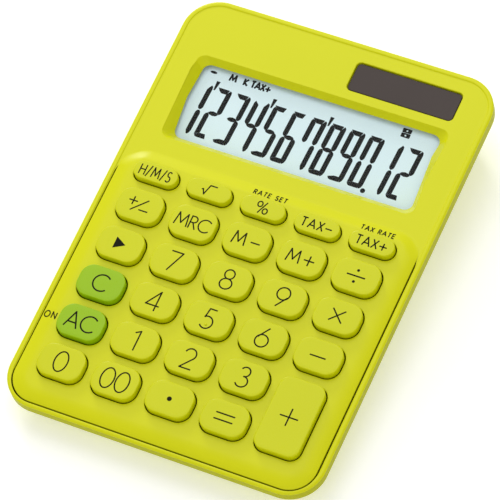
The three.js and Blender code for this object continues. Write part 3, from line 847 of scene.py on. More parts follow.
@dataclass
class UpperShell:
    """The upper shell: rim, display panel, sunk display opening, solar opening and the raised key pad."""

    face: Face
    key_places: dict[str, tuple[Vector, Outline]]
    pad_height: float = 1.2
    pad: Outline = field(default_factory=lambda: Outline.between(-50.2, 50.2, -73.0, 18.7, 8.5, 14))
    pad_roll: float = 5.0
    groove_width: float = 0.5
    pad_edge: float = 0.25
    case_corner: float = 11.5
    groove_depth: float = 0.8
    groove_back: float = 16.0
    block_depth: float = 9.0
    rim_height: float = 0.3
    rim_round: Point = (0.85, 0.45)
    rim_flat: float = 0.3
    rim_fall: float = 0.45
    rim_foot: float = 0.3
    panel: float = 1.8
    wall: float = 2.0
    key_gap: float = 0.38
    recess: Outline = field(default_factory=lambda: Outline(85.6, 31.0, 3.0, 0.0, 39.55, 8))
    view: Outline = field(default_factory=lambda: Outline(80.7, 26.2, 2.4, 0.0, 40.1, 8))
    display_tilt: float = math.radians(5)
    display_spot: Vector = field(default_factory=lambda: Vector((0, 39.5, -3.1)))
    ramp_share: Point = (7.5, 16.5)
    ramp_dip: float = 0.03
    roll_power: float = 0.9
    hole_flare: float = 0.15
    zone_margin: float = 0.1
    side_margin: float = 0.15
    corner_share: float = 0.7
    recess_wall: float = 1.4
    solar_corner: float = 1.4
    solar_ease: float = 0.15
    solar_ledge: float = 1.3
    pad_ceiling: float = -0.9
    above: float = 5.0

    def pad_surface(self, inside: float, y: float) -> float:
        """Gives the pad's height at a distance inside its edge.

        The front and the sides rise in a plain round from the groove, and the back in a long soft S.

        Args:
            inside: The distance.
            y: The place from front to back, which tells the back from the sides.

        Returns:
            The height above the display panel.
        """
        share = min(1.0, max(0.0, inside / self.pad_roll))
        bulge = (1 - (1 - share) ** 2) ** self.roll_power
        round_over = self.pad_edge + (self.pad_height - self.pad_edge) * bulge
        ramp = -self.ramp_dip + (self.pad_height + self.ramp_dip) * share * share * (3 - 2 * share)
        low, high = self.ramp_share
        behind = min(1.0, max(0.0, (y - low) / (high - low)))
        behind = behind * behind * (3 - 2 * behind)
        return round_over + (ramp - round_over) * behind

    def pad_body(self) -> Shape:
        """Returns the pad's block, whose edge rolls down in rings."""
        shape = Shape().start(self.pad, -2 * self.pad_height).rise(2 * self.pad_height)
        rings = [0.0, 0.15, 0.4, 0.8, 1.3, 1.9, 2.5, 3.1, 3.7, 4.2, 4.6, self.pad_roll]
        for before, inside in zip([None, *rings], rings):
            if before is not None:
                shape.inset(inside - before)
            for vert in shape.end.verts:
                vert.co.z = self.pad_surface(inside, vert.co.y)
        return shape

    def block(self) -> Shape:
        """Returns the shell's outer block with its rim rounded over and the display panel sunk in it."""
        low, high = self.face.box("front_case")
        outline = Outline(high.x - low.x, high.y - low.y, self.case_corner, 0.0, 0.0, 20)
        inward, up = self.rim_round
        shape = Shape().start(outline, -self.block_depth).rise(self.block_depth + self.rim_height - up)
        shape.follow(quarter_round(inward, up, 5)).inset(self.rim_flat)
        half_step = self.rim_height / 2
        rolled = reversed(quarter_round(-self.rim_fall, -half_step, 3))
        shape.follow([(-inward, fall) for inward, fall in rolled])
        return shape.follow(quarter_round(self.rim_foot, -half_step, 3))

    def keyway(self) -> Shape:
        """Returns the bodies that cut the key holes, each flared where it meets the pad."""
        shape = Shape()
        flare, depth = self.hole_flare, 8.0
        for _, outline in self.key_places.values():
            hole = outline.grown(self.key_gap)
            shape.start(hole.grown(flare), self.above).rise(self.pad_height - self.above)
            shape.follow(quarter_round(flare, -flare, 2)).rise(-depth)
        return shape

    def funnel(self, grow: float, high_share: float, low_share: float, lip: float = 0.0) -> Shape:
        """Returns the body between the opening on the face and the view on the display plane.

        Args:
            grow: How much larger it is than the opening's own walls.
            high_share: Where it starts, 0 at the face and 1 at the display plane.
            low_share: Where it ends.
            lip: The round at the opening's edge.

        Returns:
            The funnel.
        """
        shape = Shape().start(self.recess.grown(grow), 0.0).rise(-1.0)
        scale_x = (self.view.width + 2 * grow) / (self.recess.width + 2 * grow)
        scale_y = (self.view.depth + 2 * grow) / (self.recess.depth + 2 * grow)
        for vert in shape.mesh.verts:
            share = high_share if vert.co.z > -0.5 else low_share
            y = self.view.y + (vert.co.y - self.recess.y) * scale_y
            height = self.display_spot.z + (y - self.display_spot.y) * math.tan(self.display_tilt)
            at_view = Vector((vert.co.x * scale_x, y, height))
            vert.co = Vector((vert.co.x, vert.co.y, 0)).lerp(at_view, share)
        return shape

    def build(self) -> bpy.types.Object:
        """Builds and dresses the shell.

        Returns:
            The piece.
        """
        made = self.block().to_object("upper_shell")
        groove = Outline.between(
            self.pad.x - self.pad.width / 2,
            self.pad.x + self.pad.width / 2,
            self.pad.y - self.pad.depth / 2,
            self.groove_back,
            self.pad.corner,
            self.pad.steps,
        )
        wide = groove.grown(self.groove_width)
        combine(made, Shape().prism(wide, -self.groove_depth, self.above), Cut.REMOVE)
        combine(made, self.pad_body(), Cut.ADD)
        low, high = self.face.box("front_case")
        inner = Outline(high.x - low.x, high.y - low.y, self.case_corner, 0.0, 0.0, 12).grown(-self.wall)
        combine(made, Shape().prism(inner, -12.0, -self.panel), Cut.REMOVE)
        under = self.pad.grown(1 - self.pad_roll)
        combine(made, Shape().prism(under, -self.panel - 1, self.pad_ceiling), Cut.REMOVE)
        self.trim_skirt(made)
        combine(made, self.funnel(self.recess_wall, 0.2, 1.0), Cut.ADD)
        combine(made, self.funnel(0.0, -0.6, 1.6), Cut.REMOVE)
        combine(made, self.keyway(), Cut.REMOVE)
        self.cut_solar_opening(made)
        self.add_posts(made)
        place, nodes = self.face.to_desk, ["front_case"]
        return settle(made, place, LIME_CASE, CASE_BODY, nodes, "lime_case", zone=self.zone)

    @cached_property
    def half_case(self) -> Vector:
        """Half the case's width and depth."""
        low, high = self.face.box("front_case")
        return (high - low) / 2

    def zone(self, spot: Vector) -> Zone:
        """Tells a key hole, and the groove and the case's side, from the rest of the shell; those zones take
        darker finishes that are painted shade.

        Args:
            spot: The middle of a face.

        Returns:
            The face's zone.
        """
        corner = self.half_case.x - self.case_corner
        arms = Vector((abs(spot.x) - corner, abs(spot.y) - self.half_case.y + self.case_corner))
        outside = Vector((max(arms.x, 0), max(arms.y, 0))).length + min(max(arms), 0) - self.case_corner
        below = spot.z < -self.zone_margin
        if outside > -self.side_margin and below:
            return Zone.SIDE
        in_keypad = abs(spot.x) < KEYPAD_HALF.x and abs(spot.y - KEYPAD_MIDDLE) < KEYPAD_HALF.y
        half_width, half_depth = self.pad.width / 2, self.pad.depth / 2
        beyond = max(abs(spot.x - self.pad.x) - half_width, self.pad.y - half_depth - spot.y)
        beside = -self.corner_share * self.pad.corner < beyond < self.groove_width
        above_floor = spot.z > -self.groove_depth - self.zone_margin
        if beside and below and above_floor and spot.y < self.groove_back:
            return Zone.SIDE
        return Zone.GAP if in_keypad and spot.z < PAINTED_SHADE_BELOW else Zone.OWN

    def trim_skirt(self, made: bpy.types.Object) -> None:
        """Cuts the side off at the parting plane, which drops towards the back.

        Args:
            made: The shell.
        """
        low, high = self.face.box("front_case")
        mesh = bmesh.new()
        mesh.from_mesh(made.data)
        slope = (PARTING_BACK - PARTING_FRONT) / (high.y - low.y)
        cut = bmesh.ops.bisect_plane(
            mesh,
            geom=[*mesh.verts, *mesh.edges, *mesh.faces],
            plane_co=(0, low.y, PARTING_FRONT),
            plane_no=(0, slope, -1),
            clear_outer=True,
        )
        edges = [g for g in cut["geom_cut"] if isinstance(g, bmesh.types.BMEdge)]
        loops = bmesh.ops.edgeloop_fill(mesh, edges=edges)["faces"]
        if len(loops) == 2:
            bmesh.ops.delete(mesh, geom=loops, context="FACES_ONLY")
            bmesh.ops.bridge_loops(mesh, edges=edges)
        mesh.to_mesh(made.data)
        mesh.free()

    def cut_solar_opening(self, made: bpy.types.Object) -> None:
        """Cuts the solar strip's pocket and the window through its floor.

        Args:
            made: The shell.
        """
        low, high = self.face.box("solar_window")
        ease = self.solar_ease
        pocket = Outline.between(low.x, high.x, low.y, high.y, self.solar_corner, 8).grown(CLEARANCE)
        shape = Shape().start(pocket.grown(ease), self.above).rise(-self.above)
        shape.follow(quarter_round(ease, -ease, 2)).rise(low.z - ease)
        combine(made, shape, Cut.REMOVE)
        combine(made, Shape().prism(pocket.grown(-self.solar_ledge), -self.above, 0.0), Cut.REMOVE)

    def add_posts(self, made: bpy.types.Object) -> None:
        """Adds the screw posts under the panel, bored for their screws.

        Args:
            made: The shell.
        """
        posts, bores = Shape(), Shape()
        radius, under_panel, under_pad = 2.2, -1.2, -0.7
        for node in frame["nodes"]:
            if node.startswith(("case_screw", "board_screw")):
                _, high = self.face.box(node)
                middle = self.face.middle(node)
                base, bore = (-8.4, 1.4) if node.startswith("case_screw") else (-5.9, 1.2)
                root = under_panel if middle.y > self.pad.y + self.pad.depth / 2 else under_pad
                posts.rod(radius, middle.x, middle.y, base, root)
                bores.rod(bore, middle.x, middle.y, base - 1, high.z + CLEARANCE)
        combine(made, posts, Cut.ADD)
        combine(made, bores, Cut.REMOVE)


# ---------------------------------------------------------------- keys


def cap_zone(spot: Vector) -> Zone:
    """Tells a spot low on a cap's side, which takes the painted gap shade, from one higher up."""
    return Zone.GAP if spot.z < PAINTED_SHADE_BELOW else Zone.OWN


class KeyKind(Enum):
    """The three sizes of key cap."""

    SMALL = "small"
    PLAIN = "plain"
    TALL = "tall"


@dataclass
class Keypad:
    """The key caps with their printed legends."""

    face: Face
    flange: float = 1.1
    flange_heights: Point = (-2.0, -1.2)
    cap_round: float = 0.34
    crown: tuple[Point, ...] = ((0.6, 0.03), (0.5, 0.01))
    plunger: float = 4.0
    plunger_inset: float = 1.5
    small_below: float = 8.0
    tall_above: float = 16.0
    plain_corner: float = 4.1
    tall_corner: float = 3.4
    legends: dict[str, Legend] = field(
        default_factory=lambda: {
            "key_hms": Legend(("H", "/", "M", "/", "S"), 3.5, 10.3, 0.4, 0.74),
            "key_sqrt": Legend(("root",), 3.4, 4.6, 0.42),
            "key_percent": Legend(("percent",), 3.8, 3.8, 0.42),
            "key_tax_minus": Legend(("T", "A", "X", "-"), 3.0, 10.1, 0.44),
            "key_tax_plus": Legend(("T", "A", "X", "+"), 3.0, 10.1, 0.44),
            "key_sign": Legend(("sign",), 4.7, 7.6, 0.44),
            "key_mrc": Legend(("M", "R", "C"), 4.3, 11.4, 0.44),
            "key_m_minus": Legend(("M", "-"), 4.3, 8.9, 0.46),
            "key_m_plus": Legend(("M", "+"), 4.3, 8.9, 0.46),
            "key_divide": Legend(("divide",), 6.0, 6.0, 0.48),
            "key_backspace": Legend(("arrow",), 4.0, 4.0),
            "key_7": Legend(("7",), 6.7, 4.0),
            "key_8": Legend(("8",), 6.7, 4.0),
            "key_9": Legend(("9",), 6.7, 4.0),
            "key_multiply": Legend(("x",), 4.2, 4.2),
            "key_c": Legend(("C",), 5.6, 5.0, 0.5),
            "key_4": Legend(("4",), 6.7, 4.0),
            "key_5": Legend(("5",), 6.7, 4.0),
            "key_6": Legend(("6",), 6.7, 4.0),
            "key_minus": Legend(("-",), 7.4, 5.0),
            "key_ac": Legend(("A", "C"), 5.4, 9.6, 0.5),
            "key_1": Legend(("1",), 6.7, 2.0),
            "key_2": Legend(("2",), 6.7, 4.0),
            "key_3": Legend(("3",), 6.7, 4.0),
            "key_plus": Legend(("+",), 7.4, 6.0),
            "key_0": Legend(("0",), 6.8, 4.2),
            "key_00": Legend(("0", "0"), 6.8, 9.1),
            "key_point": Legend(("point",), 3.0, 1.5),
            "key_equals": Legend(("=",), 6.2, 6.2),
        }
    )
    green: tuple[str, ...] = ("key_c", "key_ac")

    def outline(self, node: str) -> tuple[Vector, Outline]:
        """Reads a cap's place and outline from its CAD node.

        Args:
            node: The node's name.

        Returns:
            The cap's middle, and its outline round that middle.
        """
        low, high = self.face.box(node)
        width, depth = (high.x - low.x) - 2 * self.flange, (high.y - low.y) - 2 * self.flange
        middle = Vector(((low.x + high.x) / 2, (low.y + high.y) / 2, high.z))
        kind = KeyKind.PLAIN
        if depth < self.small_below:
            kind = KeyKind.SMALL
        elif depth > self.tall_above:
            kind = KeyKind.TALL
        corners = {
            KeyKind.SMALL: depth / 2,
            KeyKind.PLAIN: self.plain_corner,
            KeyKind.TALL: self.tall_corner,
        }
        corner = corners[kind]
        return middle, Outline(width, depth, corner, middle.x, middle.y, 10)

    def places(self) -> dict[str, tuple[Vector, Outline]]:
        """Returns the middle and outline of every cap."""
        return {node: self.outline(node) for node in self.legends}

    def cap(self, node: str) -> Shape:
        """Returns a cap with its flange, its plunger and its rounded top.

        Args:
            node: The key's node.

        Returns:
            The cap.
        """
        low, _ = self.face.box(node)
        middle, outline = self.outline(node)
        flange_low, flange_high = self.flange_heights
        shape = Shape().start(outline.grown(self.flange), flange_low)
        base = shape.end
        shape.rise(flange_high - flange_low)
        shape.inset(self.flange)
        shape.rise(middle.z - self.cap_round - flange_high)
        crown_rise = sum(rise for _, rise in self.crown)
        shape.follow(quarter_round(self.cap_round, self.cap_round - crown_rise, 6)).follow(self.crown)
        self.add_plunger(shape, base, middle, low.z)
        return shape

    def add_plunger(self, shape: Shape, base: bmesh.types.BMFace, middle: Vector, low: float) -> None:
        """Draws the plunger down from the middle of a cap's underside.

        Args:
            shape: The cap.
            base: The cap's underside.
            middle: The cap's middle.
            low: The height of the plunger's end.
        """
        shape.end = base
        shape.inset(self.plunger_inset)
        across = max(v.co.x for v in base.verts) - min(v.co.x for v in base.verts)
        depth = max(v.co.y for v in base.verts) - min(v.co.y for v in base.verts)
        to_middle = Matrix.Translation((-middle.x, -middle.y, 0))
        shrink = (self.plunger / across, self.plunger / depth, 1)
        bmesh.ops.scale(shape.mesh, vec=shrink, space=to_middle, verts=base.verts)
        shape.rise(low - base.verts[0].co.z)

    def build(self) -> None:
        """Builds every key and prints its legend."""
        for node, legend in self.legends.items():
            middle, _ = self.outline(node)
            is_green = node in self.green
            finish, slot = (GREEN_KEY, "green_key") if is_green else (LIME_KEY, "lime_key")
            made = self.cap(node).to_object(node.replace("key_", "cap_"))
            settle(made, self.face.to_desk, finish, node, [node], slot, zone=cap_zone)
            ink = draw_legend(legend).to_object(node.replace("key_", "legend_"), turn_out=False)
            spot = self.face.to_desk @ Matrix.Translation(middle + Vector((0, 0, INK_THICKNESS / 4)))
            settle(ink, spot, INK, node, large=False)
        self.add_home_dot()

    def add_home_dot(self) -> None:
        """Adds the raised dot that the finger finds on the middle key."""
        middle, _ = self.outline("key_5")
        shape = Shape()
        radius, flatten, forward = 0.45, 0.6, 2.0
        made = bmesh.ops.create_uvsphere(shape.mesh, u_segments=20, v_segments=12, radius=radius)
        bmesh.ops.scale(shape.mesh, vec=(1, 1, flatten), verts=made["verts"])
        bmesh.ops.bisect_plane(
            shape.mesh,
            geom=[*shape.mesh.verts, *shape.mesh.edges, *shape.mesh.faces],
            plane_co=(0, 0, -0.1),
            plane_no=(0, 0, -1),
            clear_outer=True,
        )
        rim = [e for e in shape.mesh.edges if e.is_boundary]
        bmesh.ops.edgeloop_fill(shape.mesh, edges=rim)
        dot = shape.to_object("home_dot")
        spot = self.face.to_desk @ Matrix.Translation(middle - Vector((0, forward, 0)))
        settle(dot, spot, LIME_KEY, "key_5", slot="lime_key", large=False)


@dataclass
class PadPrint:
    """The small function names printed on the shell beside their keys."""

    face: Face
    shell: UpperShell
    lift: float = 0.07
    words: tuple[tuple[str, str, float, float, float, float], ...] = (
        ("rate_set_print", "RATE SET", 1.7, 11.0, -0.5, 15.4),
        ("tax_rate_print", "TAX RATE", 1.7, 11.0, 35.6, 15.2),
        ("on_print", "ON", 2.1, 4.0, -47.7, -44.5),
    )

    def build(self) -> None:
        """Prints each word, laid onto the pad's rolled edge."""
        pad = self.shell.pad
        for name, word, height, width, x, y in self.words:
            shape = draw_legend(Legend(tuple(word), height, width, 0.33, 0.92))
            for vert in shape.mesh.verts:
                vert.co.x += x
                vert.co.y += y
                half = Vector((pad.width / 2, pad.depth / 2))
                side = half.x - abs(vert.co.x - pad.x)
                end = half.y - abs(vert.co.y - pad.y)
                vert.co.z += self.shell.pad_surface(min(side, end), vert.co.y) + self.lift
            ink = shape.to_object(name, turn_out=False)
            settle(ink, self.face.to_desk, INK, CASE_BODY, large=False)


# ---------------------------------------------------------------- display


SEGMENTS = {
    "a": ((0.3, 17.6), (3.85, 17.6), (3.4, 16.25), (1.75, 16.25), (0.95, 16.75)),
    "b": (
        (4.35, 17.6), (4.85, 17.2), (5.0, 16.4), (5.0, 9.9), (4.75, 9.3), (4.3, 8.95),
        (3.75, 9.25), (3.5, 9.9), (3.5, 16.0),
    ),
    "c": (
        (4.3, 8.65), (4.75, 8.3), (5.0, 7.7), (5.0, 1.5), (4.75, 0.5), (4.3, 0.0),
        (3.95, 0.1), (3.5, 1.3), (3.5, 7.7), (3.75, 8.35),
    ),
    "d": ((0.55, 0.15), (1.1, 0.0), (3.7, 0.0), (3.3, 1.35), (1.75, 1.35), (0.1, 0.75)),
    "e": ((0.0, 0.95), (1.5, 1.55), (1.5, 7.7), (1.25, 8.3), (0.75, 8.65), (0.25, 8.3), (0.0, 7.6)),
    "f": (
        (0.3, 17.2), (1.5, 16.0), (1.5, 9.9), (1.25, 9.25), (0.75, 8.95), (0.25, 9.3),
        (0.0, 9.9), (0.0, 16.4),
    ),
    "g": (
        (0.95, 8.8), (1.5, 9.25), (2.4, 9.45), (3.4, 9.3), (4.05, 8.8),
        (3.5, 8.3), (2.5, 8.15), (1.5, 8.35),
    ),
}
LIT = {
    "0": "abcdef", "1": "bc", "2": "abged", "3": "abgcd", "4": "fgbc",
    "5": "afgcd", "6": "afgcde", "7": "fabc", "8": "abcdefg", "9": "abcdfg",
}


@dataclass
class Display:
    """The display: a clear window over the glass, and the liquid crystal figures on the glass."""

    face: Face
    shell: UpperShell
    figures: str = "123456789012"
    pitch: float = 6.527
    first_right: float = -35.2
    base_y: float = -10.3
    figure_width: float = 5.0
    figure_middle: float = 8.8
    mark_offset: float = 5.85
    marked: tuple[int, ...] = (0, 3, 6)
    upright_swell: float = 1.02
    signs_y: float = 11.75
    lean: float = 0.062
    film: float = 0.03
    swell: Vector = field(default_factory=lambda: Vector((1.1, 1.2)))
    sight_shift: Vector = field(default_factory=lambda: Vector((-0.49, 0.47)))

    def to_desk(self) -> Matrix:
        """Returns the matrix from the display's own millimetres to the desk's."""
        spot = Matrix.Translation(self.shell.display_spot)
        return self.face.to_desk @ spot @ Matrix.Rotation(self.shell.display_tilt, 4, "X")

    def plate(self, node: str, name: str, corner: float, finish: Finish, slot: str) -> float:
        """Builds a plate with eased edges in the place of its node.

        Args:
            node: The CAD node.
            name: The piece's name.
            corner: Its corners' radius.
            finish: Its finish.
            slot: Its material slot.

        Returns:
            The height of its upper face, in the display's own millimetres.
        """
        to_display = self.to_desk().inverted()
        spots = [to_display @ (v.co / MM) for v in frame["nodes"][node].data.vertices]
        low = Vector(min(s[i] for s in spots) for i in range(3))
        high = Vector(max(s[i] for s in spots) for i in range(3))
        size, middle = high - low, (high + low) / 2
        ease = 0.12
        shape = Shape().start(Outline(size.x, size.y, corner, middle.x, middle.y, 6), low.z)
        shape.rise(size.z - ease)
        shape.follow(quarter_round(ease, ease, 2))
        settle(shape.to_object(name), self.to_desk(), finish, CASE_BODY, [node], slot)
        return high.z

    def build(self) -> None:
        """Builds the window, the glass and everything that the crystal shows."""
        self.plate("lcd_window", "display_window", 1.0, CLEAR_SHEET, "clear_window")
        glass = self.plate("lcd_panel", "display_glass", 0.5, DISPLAY_GLASS, "display_glass")
        shape = Shape()
        for place, figure in enumerate(self.figures):
            left = self.first_right + place * self.pitch - self.figure_width
            self.draw_figure(shape, figure, left)
            if place in self.marked:
                self.draw_mark(shape, left + self.mark_offset)
        self.draw_signs(shape)
        spot = Matrix.Translation((self.sight_shift.x, self.sight_shift.y, glass + self.film / 2))
        made = shape.to_object("display_figures", turn_out=False)
        settle(made, self.to_desk() @ spot, CRYSTAL, CASE_BODY, slot="display_glass", large=False)

    def draw_figure(self, shape: Shape, figure: str, left: float) -> None:
        """Draws one figure's lit segments, leaning a little to the right.

        Args:
            shape: What is drawn so far.
            figure: The digit.
            left: The figure's left side.
        """
        for segment in LIT[figure]:
            corners = SEGMENTS[segment]
            centre = sum((Vector(corner) for corner in corners), Vector((0, 0))) / len(corners)
            points = []
            for corner in corners:
                x = centre.x + (corner[0] - centre.x) * self.swell.x
                swell = self.swell.y if segment in "adg" else self.upright_swell
                y = centre.y + (corner[1] - centre.y) * swell
                points.append((left + x + (y - self.figure_middle) * self.lean, self.base_y + y))
            draw_outline(shape.mesh, points, self.film, 0.08)

    def draw_mark(self, shape: Shape, left: float) -> None:
        """Draws the wedge that marks the thousands.

        Args:
            shape: What is drawn so far.
            left: The wedge's left side.
        """
        low = self.base_y + 16.4
        points = [(left, low), (left + 0.5, low), (left + 1.2, low + 3.2), (left - 0.1, low + 3.2)]
        draw_outline(shape.mesh, points, self.film, 0.1)

    def draw_signs(self, shape: Shape) -> None:
        """Draws the decimal point and the row of small signs along the top.

        Args:
            shape: What is drawn so far.
        """
        half = self.film / 2
        shape.rod(0.8, 23.8, self.base_y - 0.35, -half, half, 24)
        top = self.signs_y
        draw_outline(shape.mesh, [(x, top + y) for x, y in arc(-36.6, 0, 1.15, 0.45, 0, 345)], self.film)
        for word, x, width in (("M", -29.8, 1.9), ("K", -25.4, 1.5), ("TAX+", -20.3, 6.6)):
            legend = Legend(tuple(word), 2.2, width, 0.62)
            ink = draw_legend(legend)
            bmesh.ops.translate(ink.mesh, vec=(x, top, 0), verts=ink.mesh.verts)
            data = bpy.data.meshes.new("word")
            ink.mesh.to_mesh(data)
            ink.mesh.free()
            shape.mesh.from_mesh(data)
            bpy.data.meshes.remove(data)
        self.draw_tax_sign(shape, 29.3, top - 0.2)

    def draw_tax_sign(self, shape: Shape, x: float, y: float) -> None:
        """Draws two small framed cells, one over the other.

        Args:
            shape: What is drawn so far.
            x: Their middle.
            y: Their middle.
        """
        width, depth, apart = 1.5, 0.74, 0.8
        corners = [(-width, -depth), (width, -depth), (width, depth), (-width, depth)]
        for up in (apart, -apart):
            cell = Shape()
            draw_outline(cell.mesh, [(x + a, y + up + b) for a, b in corners], self.film, 0.25)
            made = cell.to_object("cell")
            combine(made, Shape().rod(0.3, x, y + up, -1.0, 1.0, 16), Cut.REMOVE)
            shape.mesh.from_mesh(made.data)
            data = made.data
            bpy.data.objects.remove(made)
            bpy.data.meshes.remove(data)


@dataclass
class SolarStrip:
    """The smoked window over the solar cell."""

    face: Face
    corner: float = 1.4
    ease: float = 0.25
    below_face: float = 0.2

    def build(self) -> None:
        """Builds the window."""
        low, high = self.face.box("solar_window")
        outline = Outline.between(low.x, high.x, low.y, high.y, self.corner, 8)
        shape = Shape().start(outline, low.z).rise(high.z - low.z - self.ease - self.below_face)
        shape.follow(quarter_round(self.ease, self.ease, 4))
        made = shape.to_object("solar_cover")
        settle(made, self.face.to_desk, SMOKED_SHEET, CASE_BODY, ["solar_window"], "smoked_window")


# ---------------------------------------------------------------- lower shell


@dataclass
class LowerShell:
    """The lower shell: a tapered tub with screw wells, foot pockets and the battery bay."""

    face: Face
    foot_height: float = 1.0
    wall: float = 1.8
    floor: float = 1.4
    edge_round: float = 1.6
    top_inset: float = 0.4
    base_inset: float = 6.3
    front_inset: float = 3.4
    back_inset: float = 5.6
    corner: float = 11.5
    bore: float = 1.4
    head: float = 2.1
    bay_wall: float = 1.6
    bay_top: float = 11.0
    well_radius: float = 3.3
    well_bore: float = 2.5

    def tub(self, wall: float, low: float, lift: float, edge_round: float) -> Shape:
        """Returns the tub's outer body, or the body of its hollow.

        Args:
            wall: How far inside the outer surface.
            low: The height of its base.
            lift: How far its top stands above the parting plane.
            edge_round: The round between its base and its sides.

        Returns:
            The body, in the desk's millimetres.
        """
        case_low, case_high = self.face.box("front_case")
        width, depth = case_high.x - case_low.x, case_high.y - case_low.y
        shape = Shape()
        step = self.top_inset + wall
        top = Outline(width - 2 * step, depth - 2 * step, self.corner - step, 0.0, 0.0, 20)
        shape.start(top, 0.0).rise(-1.0)
        base_width = width - 2 * (self.base_inset + wall)
        front, back = -depth / 2 + self.front_inset + wall, depth / 2 - self.back_inset - wall
        base_verts = set(shape.end.verts)
        for vert in shape.mesh.verts:
            if vert in base_verts:
                vert.co.x *= base_width / top.width
                vert.co.y = (front + back) / 2 + vert.co.y * (back - front) / top.depth
                vert.co.z = low
            else:
                share = (vert.co.y + depth / 2) / depth
                parting = PARTING_FRONT + (PARTING_BACK - PARTING_FRONT) * share
                vert.co.z = parting - CLEARANCE + lift
                vert.co = self.face.to_desk @ vert.co
        if edge_round:
            bmesh.ops.bevel(
                shape.mesh,
                geom=list(shape.end.edges),
                offset=edge_round,
                offset_type="OFFSET",
                segments=6,
                profile=0.5,
                affect="EDGES",
                material=-1,
            )
        return shape

    def build(self) -> None:
        """Builds the shell, its feet, its screws and the battery door."""
        made = self.tub(0.0, self.foot_height, 0.0, self.edge_round).to_object("lower_shell")
        combine(made, self.tub(self.wall, self.foot_height + self.floor, 1.0, 0.0), Cut.REMOVE)
        self.add_bay(made)
        self.add_wells(made)
        self.cut_foot_pockets(made)
        settle(made, Matrix.Identity(4), LIME_LOWER, CASE_BODY, ["rear_case"], "lime_lower_case")
        self.add_feet()
        self.add_screws()
        self.add_door()

    def node_box(self, node: str) -> tuple[Vector, Vector]:
        """Returns a node's corners in the desk's millimetres.

        Args:
            node: The node's name.

        Returns:
            Its lowest and highest corners.
        """
        low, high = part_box(node)
        return low / MM, high / MM

    def add_bay(self, made: bpy.types.Object) -> None:
        """Adds the battery bay's block and hollows it.

        Args:
            made: The shell.
        """
        low, high = self.node_box("battery_door")
        bay = Outline.between(low.x, high.x, low.y, high.y, 0.6, 4).grown(CLEARANCE)
        block = bay.grown(self.bay_wall)
        combine(made, Shape().prism(block, self.foot_height, self.bay_top), Cut.ADD)
        combine(made, Shape().prism(bay, 0.0, high.z + CLEARANCE), Cut.REMOVE)
        cell_low, cell_high = self.node_box("button_cell")
        x, y = (cell_low.x + cell_high.x) / 2, (cell_low.y + cell_high.y) / 2
        combine(made, Shape().prism(Outline(18.4, 14.8, 0.5, x, y, 3), 2.0, 9.8), Cut.REMOVE)
        screw_low, screw_high = self.node_box("battery_door_screw")
        x = (screw_low.x + screw_high.x) / 2
        combine(made, Shape().rod(1.2, x, y, 1.5, 8.0), Cut.REMOVE)

    def add_wells(self, made: bpy.types.Object) -> None:
        """Adds a well for each case screw, square to the face.

        Args:
            made: The shell.
        """
        tubes, bores, holes = Shape(), Shape(), Shape()
        for node in frame["nodes"]:
            if node.startswith("case_screw"):
                middle = self.face.middle(node)
                tubes.rod(self.well_radius, middle.x, middle.y, -30.0, -8.7)
                bores.rod(self.well_bore, middle.x, middle.y, -40.0, -9.7)
                holes.rod(self.bore, middle.x, middle.y, -12.0, -7.0)
        keep = tubes.turned(self.face.to_desk).to_object("wells")
        combine(keep, self.tub(0.0, self.foot_height, 0.0, self.edge_round), Cut.KEEP)
        wells = Shape()
        wells.mesh.from_mesh(keep.data)
        data = keep.data
        bpy.data.objects.remove(keep)
        bpy.data.meshes.remove(data)
        combine(made, wells, Cut.ADD)
        combine(made, bores.turned(self.face.to_desk), Cut.REMOVE)
        combine(made, holes.turned(self.face.to_desk), Cut.REMOVE)

    def cut_foot_pockets(self, made: bpy.types.Object) -> None:
        """Sinks a pocket for each foot.

        Args:
            made: The shell.
        """
        pockets = Shape()
        for node in frame["nodes"]:
            if node.startswith("foot_"):
                low, high = self.node_box(node)
                radius = (high.x - low.x) / 2 + CLEARANCE
                x, y = (low.x + high.x) / 2, (low.y + high.y) / 2
                pockets.rod(radius, x, y, 0.0, high.z + CLEARANCE, 40)
        combine(made, pockets, Cut.REMOVE)

    def add_feet(self) -> None:
        """Builds each foot as a soft-edged disc with a shallow dish in its underside."""
        for node in sorted(n for n in frame["nodes"] if n.startswith("foot_")):
            low, high = self.node_box(node)
            radius, x, y = (high.x - low.x) / 2, (low.x + high.x) / 2, (low.y + high.y) / 2
            disc = Outline(2 * radius, 2 * radius, radius, x, y, 12)
            shape = Shape().start(disc, high.z).rise(low.z - high.z + 0.3)
            shape.follow(quarter_round(0.4, -0.3, 4))
            shape.inset(1.0).inset(0.5, 0.15)
            name = node.replace("foot_", "rubber_foot_")
            settle(shape.to_object(name), Matrix.Identity(4), FOOT_RUBBER, CASE_BODY, [node], "foot_rubber")

    def screw(self, radius: float, head: float, shaft: float, length: float) -> bpy.types.Object:
        """Builds a pan-head screw with a cross recess, its head down and its seat at z = 0.

        Args:
            radius: The head's radius.
            head: The head's height.
            shaft: The shaft's radius.
            length: The shaft's length above the seat.

        Returns:
            The screw.
        """
        disc = Outline(2 * radius, 2 * radius, radius, 0, 0, 8)
        shape = Shape().start(disc, 0.0)
        seat = shape.end
        shape.rise(-head * 0.4).follow(quarter_round(radius * 0.4, -head * 0.6, 4))
        shape.end = seat
        shape.inset(radius - shaft).rise(length - 0.5).inset(shaft * 0.4, 0.5)
        made = shape.to_object("screw")
        cross = 1.2 * radius
        for size in ((cross, 0.5), (0.5, cross)):
            slot = Shape().prism(Outline(*size, 0.1, 0, 0, 2), -head - 1, -head * 0.45)
            combine(made, slot, Cut.REMOVE)
        return made

